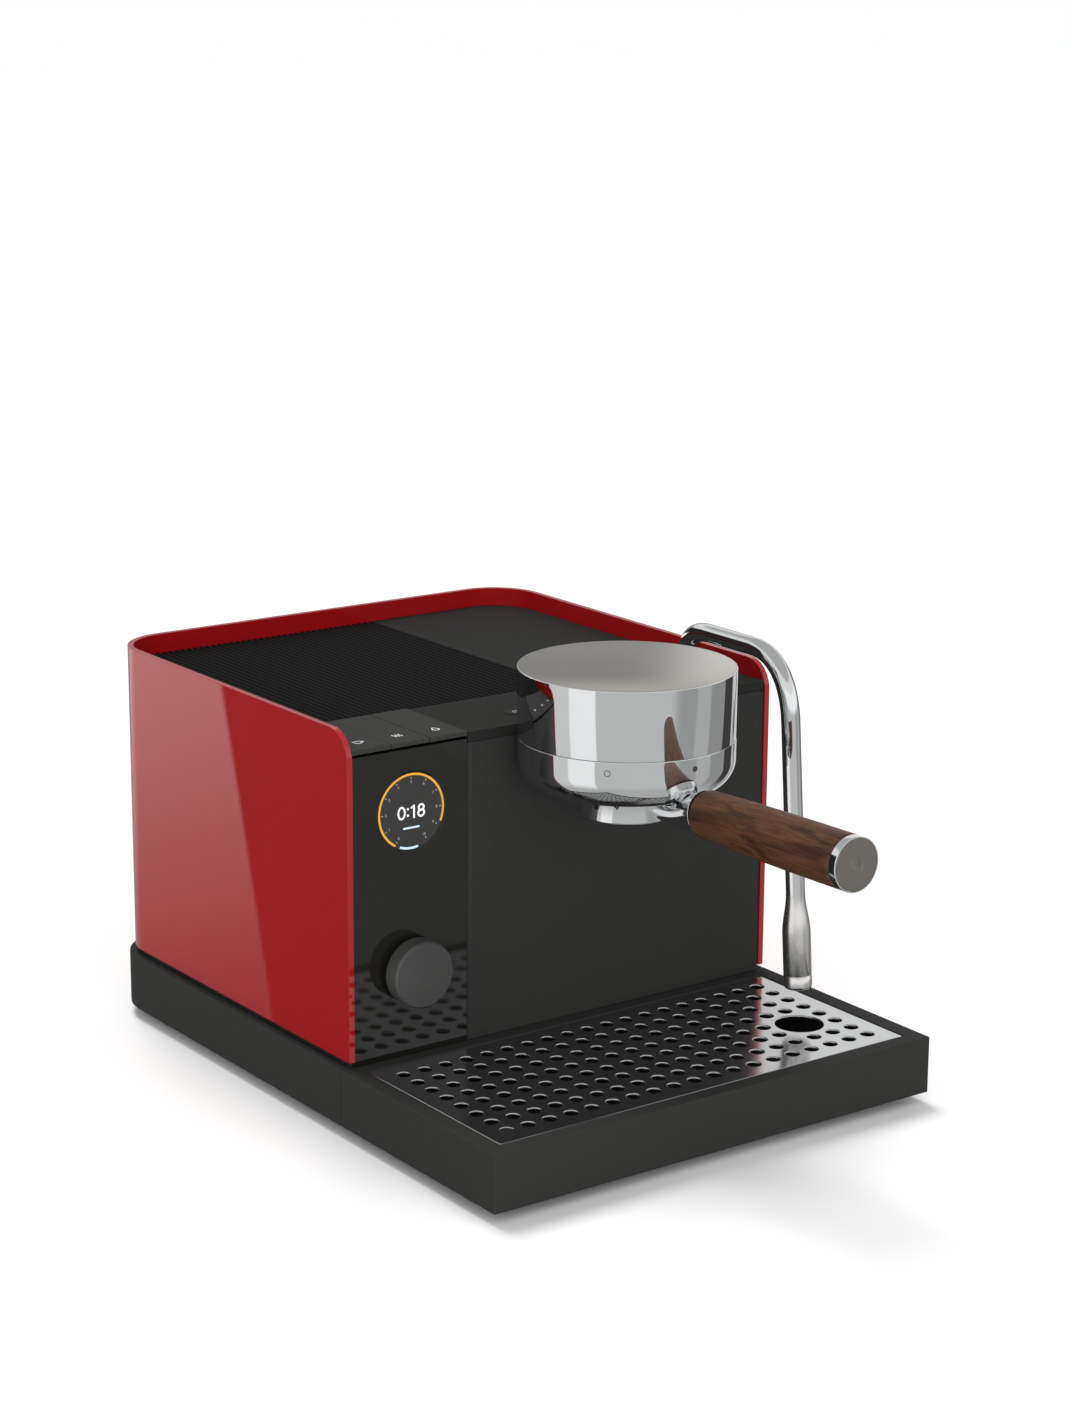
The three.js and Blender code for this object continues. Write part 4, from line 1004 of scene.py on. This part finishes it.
def bezier(points, steps):
    """Points of a Bezier curve of any degree in (y, z)."""
    out = []
    n = len(points) - 1
    for s in range(steps):
        t = s / steps
        y = sum(math.comb(n, k) * (1 - t) ** (n - k) * t ** k * p[0] for k, p in enumerate(points))
        z = sum(math.comb(n, k) * (1 - t) ** (n - k) * t ** k * p[1] for k, p in enumerate(points))
        out.append((y, z))
    return out


def steam_wand():
    """Pipe that rises from its collar, runs level to the front and bends down to the nozzle."""
    root_z = 206.0
    route = [(WAND_ROOT_Y, root_z), (WAND_ROOT_Y, 225.0)]
    route += bezier([(WAND_ROOT_Y, 236.0), (WAND_ROOT_Y, WAND_LEVEL), (10.0, WAND_LEVEL)], 24)
    route += bezier([(10.0, WAND_LEVEL), (-30, WAND_LEVEL)], 4)
    route += bezier([(-30, WAND_LEVEL), (-50, WAND_LEVEL), (-64, 240), (-66.4, 214)], 28)
    route += bezier([(-66.4, 214), (TIP_TOP[0], TIP_TOP[1] + 0.4)], 6) + [(TIP_TOP[0], TIP_TOP[1] + 0.4)]
    path = [Vector((WAND_X, y, z)) for y, z in route]
    tube = object_from("steam_wand_pipe", *swept(path, lambda i: WAND_RADIUS, 48), LOOKS["chrome"], 50)
    stands_for(tube, "steam_wand_tube")
    length = math.hypot(TIP_TOP[0] - TIP_END[0], TIP_TOP[1] - TIP_END[1])
    lean = math.atan2(TIP_TOP[0] - TIP_END[0], TIP_TOP[1] - TIP_END[1])
    r = 8.6
    seam = -length + 9.0
    profile = [(0, -length - 0.7), (1.2, -length - 0.7), (1.4, -length + 0.2), (r - 2.6, -length + 0.2)]
    profile += arc(r - 2.6, -length + 2.8, 2.6, -85, 0, 10)
    profile += [(r, seam - 0.35), (r - 0.35, seam), (r, seam + 0.35), (r, -15)]
    profile += smooth_profile(r, -15, WAND_RADIUS + 0.04, 9.0, 28) + [(0, 9.0)]
    place = Matrix.Translation((WAND_X, TIP_TOP[0], TIP_TOP[1])) @ Matrix.Rotation(-lean, 4, "X")
    tip = turned_piece("steam_wand_nozzle", profile, LOOKS["brushed_steel"], place, 96, 50)
    stands_for(tip, "steam_wand_tip")


def smooth_profile(r0, z0, r1, z1, steps):
    """Eased step between two radii along a profile."""
    out = []
    for i in range(1, steps + 1):
        t = i / steps
        ease = t * t * (3 - 2 * t)
        out.append((r0 + (r1 - r0) * ease, z0 + (z1 - z0) * t))
    return out


def wand_collar():
    low, top = COLLAR_LOW.z, COLLAR_HIGH.z
    profile = [(5.9, low), (8.4, low), (8.4, top - 1.6)] + arc(7.0, top - 1.4, 1.4, 0, 90, 8)
    profile += [(6.0, top), (5.9, top - 0.1), (5.9, low)]
    collar = turned_piece("wand_collar_ring", profile, LOOKS["chrome"], upright(WAND_X, WAND_ROOT_Y), 80, 40)
    return stands_for(collar, "wand_collar")


# ---------- pieces whose CAD shape stays, with rounded edges ----------
ROUNDED = {
    "base_frame": 0.9, "drip_tray": 0.8, "front_panel": 0.3, "deck_strip": 0.5, "tank_lid": 0.4,
    "power_inlet": 0.5, "foot_front_left": 0.3, "foot_front_right": 0.3, "foot_back_left": 0.3,
    "foot_back_right": 0.3, "tank_cradle": 0.5, "inner_frame": 0.2,
}


def build():
    housing_shell()
    ribbed_plate()
    grille_plate()
    grille_plug()
    dial_knob()
    power_button()
    key_icons()
    display()
    group_sleeve()
    group_cap()
    group_skirt()
    portafilter()
    filter_basket()
    handle()
    steam_wand()
    wand_collar()
    for node, width in ROUNDED.items():
        # The deck strip and tank lid wear the darker charcoal copy: painted shade on these upward faces.
        refined(node, width, look=DECK_PAINTED_SHADE if node in ("deck_strip", "tank_lid") else None)
    for node, piece in frame["nodes"].items():
        if not piece.hide_render:
            piece.data.materials.clear()
            piece.data.materials.append(LOOKS[SLOT_OF[node]])


# ---------- stage: floor, light and camera ----------
def soft_sun(name, towards, spread, power):
    """Even light from a broad, far panel in the given direction, spread over some degrees."""
    data = bpy.data.lights.new(name, "SUN")
    data.energy = power
    data.angle = math.radians(spread)
    light = bpy.data.objects.new(name, data)
    light.rotation_euler = Vector(towards).to_track_quat("Z", "Y").to_euler()
    light.visible_glossy = False
    bpy.context.scene.collection.objects.link(light)


def floor():
    size = 12.0
    mesh = bpy.data.meshes.new("floor")
    corners = [(-size, -size, 0), (size, -size, 0), (size, size, 0), (-size, size, 0)]
    mesh.from_pydata(corners, [], [(0, 1, 2, 3)])
    n = Nodes("floor")
    n.colour(n.noise(3.0, 2.0), (0.9, 0.9, 0.9, 1), 0.01)
    n.set(Roughness=0.9, Specular_IOR_Level=0.0)
    mesh.materials.append(n.material)
    ground = bpy.data.objects.new("floor", mesh)
    bpy.context.scene.collection.objects.link(ground)
    ground.visible_glossy = False


# A ring of panels round the machine, in round numbers, after the bands that the photographed chrome shows.
# Bearings are degrees from straight ahead (-Y), positive towards +X. Each row holds the bearing where a panel
# starts, how soft its edge is and how bright it is; STUDIO_START is the level before the first panel.
STUDIO_START = 0.02
STUDIO_BANDS = [
    (-125, 1, 0.65), (-100, 1, 0.95), (-70, 1, 0.55), (15, 8, 0.35), (40, 2, 0.45),
    (60, 2, 0.3), (85, 1, 0.05), (105, 1, 0.6), (130, 10, 1.0), (140, 2, 0.4),
]

# A card stands behind the machine's left side. It ends in a slightly leaning edge, in turns of bearing.
CARD_EDGE = 0.07742
CARD_LEAN = 0.0236
CARD_EDGE_SOFTNESS = 0.00015


class WorldNodes:
    """The world's node tree, with short calls for its sums."""

    def __init__(self, world):
        world.use_nodes = True
        self.tree = world.node_tree
        self.background = self.tree.nodes["Background"]

    def math(self, operation, *values):
        node = self.tree.nodes.new("ShaderNodeMath")
        node.operation = operation
        for socket, value in zip(node.inputs, values):
            if isinstance(value, (int, float)):
                socket.default_value = value
            else:
                self.tree.links.new(value, socket)
        return node.outputs[0]

    def step(self, value, start, end, low=0.0, high=1.0):
        node = self.tree.nodes.new("ShaderNodeMapRange")
        node.interpolation_type = "SMOOTHSTEP"
        for name, number in (("From Min", start), ("From Max", end), ("To Min", low), ("To Max", high)):
            node.inputs[name].default_value = number
        self.tree.links.new(value, node.inputs["Value"])
        return node.outputs["Result"]

    def mix(self, factor, a, b):
        """a where the factor is 0 and b where it is 1."""
        part_of_a = self.math("MULTIPLY", a, self.math("SUBTRACT", 1.0, factor))
        return self.math("ADD", part_of_a, self.math("MULTIPLY", b, factor))


def studio():
    """The panels by bearing, then belts by height; x, y and z are the parts of a ray's direction."""
    card_foot, card_level, front_level = 0.1, 1.22, 1.0
    upper_level, ceiling_level, ground_level = 0.8, 0.45, 0.45
    world = bpy.data.worlds.new("studio")
    w = WorldNodes(world)
    nodes, links = w.tree.nodes, w.tree.links
    direction = nodes.new("ShaderNodeSeparateXYZ")
    links.new(nodes.new("ShaderNodeTexCoord").outputs["Generated"], direction.inputs[0])
    x, y, z = direction.outputs
    bearing = w.math("ARCTAN2", x, w.math("MULTIPLY", y, -1.0))
    turn = w.math("MULTIPLY_ADD", bearing, 0.5 / math.pi, 0.5)
    level, before = STUDIO_START, STUDIO_START
    for bearing_at, width, after in STUDIO_BANDS:
        edge = (bearing_at - width) / 360 + 0.5, (bearing_at + width) / 360 + 0.5
        level = w.math("ADD", level, w.step(turn, *edge, 0.0, after - before))
        before = after
    card_edge = w.math("MULTIPLY_ADD", z, CARD_LEAN, turn)
    on_card = w.step(card_edge, CARD_EDGE + CARD_EDGE_SOFTNESS, CARD_EDGE - CARD_EDGE_SOFTNESS)
    card = w.math("MULTIPLY", on_card, w.step(z, -0.37, -0.2, card_foot, card_level))
    level = w.math("ADD", level, w.math("MULTIPLY", card, w.step(z, 0.1, 0.0)))
    in_front = w.step(w.math("ABSOLUTE", w.math("SUBTRACT", turn, 0.5)), 0.25, 0.18)
    level = w.mix(w.math("MULTIPLY", in_front, w.step(z, 0.0, 0.12)), level, front_level)
    level = w.mix(w.step(z, 0.33, 0.4), level, upper_level)
    level = w.mix(w.step(z, 0.56, 0.66), level, ceiling_level)
    level = w.mix(w.step(z, -0.75, -0.45), ground_level, level)
    seen = nodes.new("ShaderNodeLightPath").outputs["Is Camera Ray"]
    links.new(w.mix(seen, level, 1.0), w.background.inputs["Strength"])
    w.background.inputs["Color"].default_value = (1, 1, 1, 1)
    bpy.context.scene.world = world
    soft_sun("top_light", (0.02, 0.41, 1.0), 24, 1.8)
    soft_sun("fill_light", (-0.58, -0.83, 0.24), 100, 1.75)
    bpy.context.scene.view_settings.view_transform = "Standard"


def camera():
    """Camera at the studio's angle: front left, a little above."""
    yaw, pitch, roll = math.radians(35.85), math.radians(14.34), math.radians(0.34)
    forward = Vector((math.sin(yaw) * math.cos(pitch), math.cos(yaw) * math.cos(pitch), -math.sin(pitch)))
    right = forward.cross(Vector((0, 0, 1))).normalized()
    up = right.cross(forward)
    turned_right = math.cos(roll) * right + math.sin(roll) * up
    turned_up = -math.sin(roll) * right + math.cos(roll) * up
    data = bpy.data.cameras.new("camera")
    data.sensor_width = 36.0
    data.lens = 78.12
    data.clip_start = 0.05
    cam = bpy.data.objects.new("camera", data)
    place = Matrix((turned_right, turned_up, -forward)).transposed().to_4x4()
    eye = (-1041.54, -1409.59, 672.78)
    place.translation = to_row(eye)
    cam.matrix_world = place
    bpy.context.scene.collection.objects.link(cam)
    bpy.context.scene.camera = cam


build()
floor()
studio()
camera()
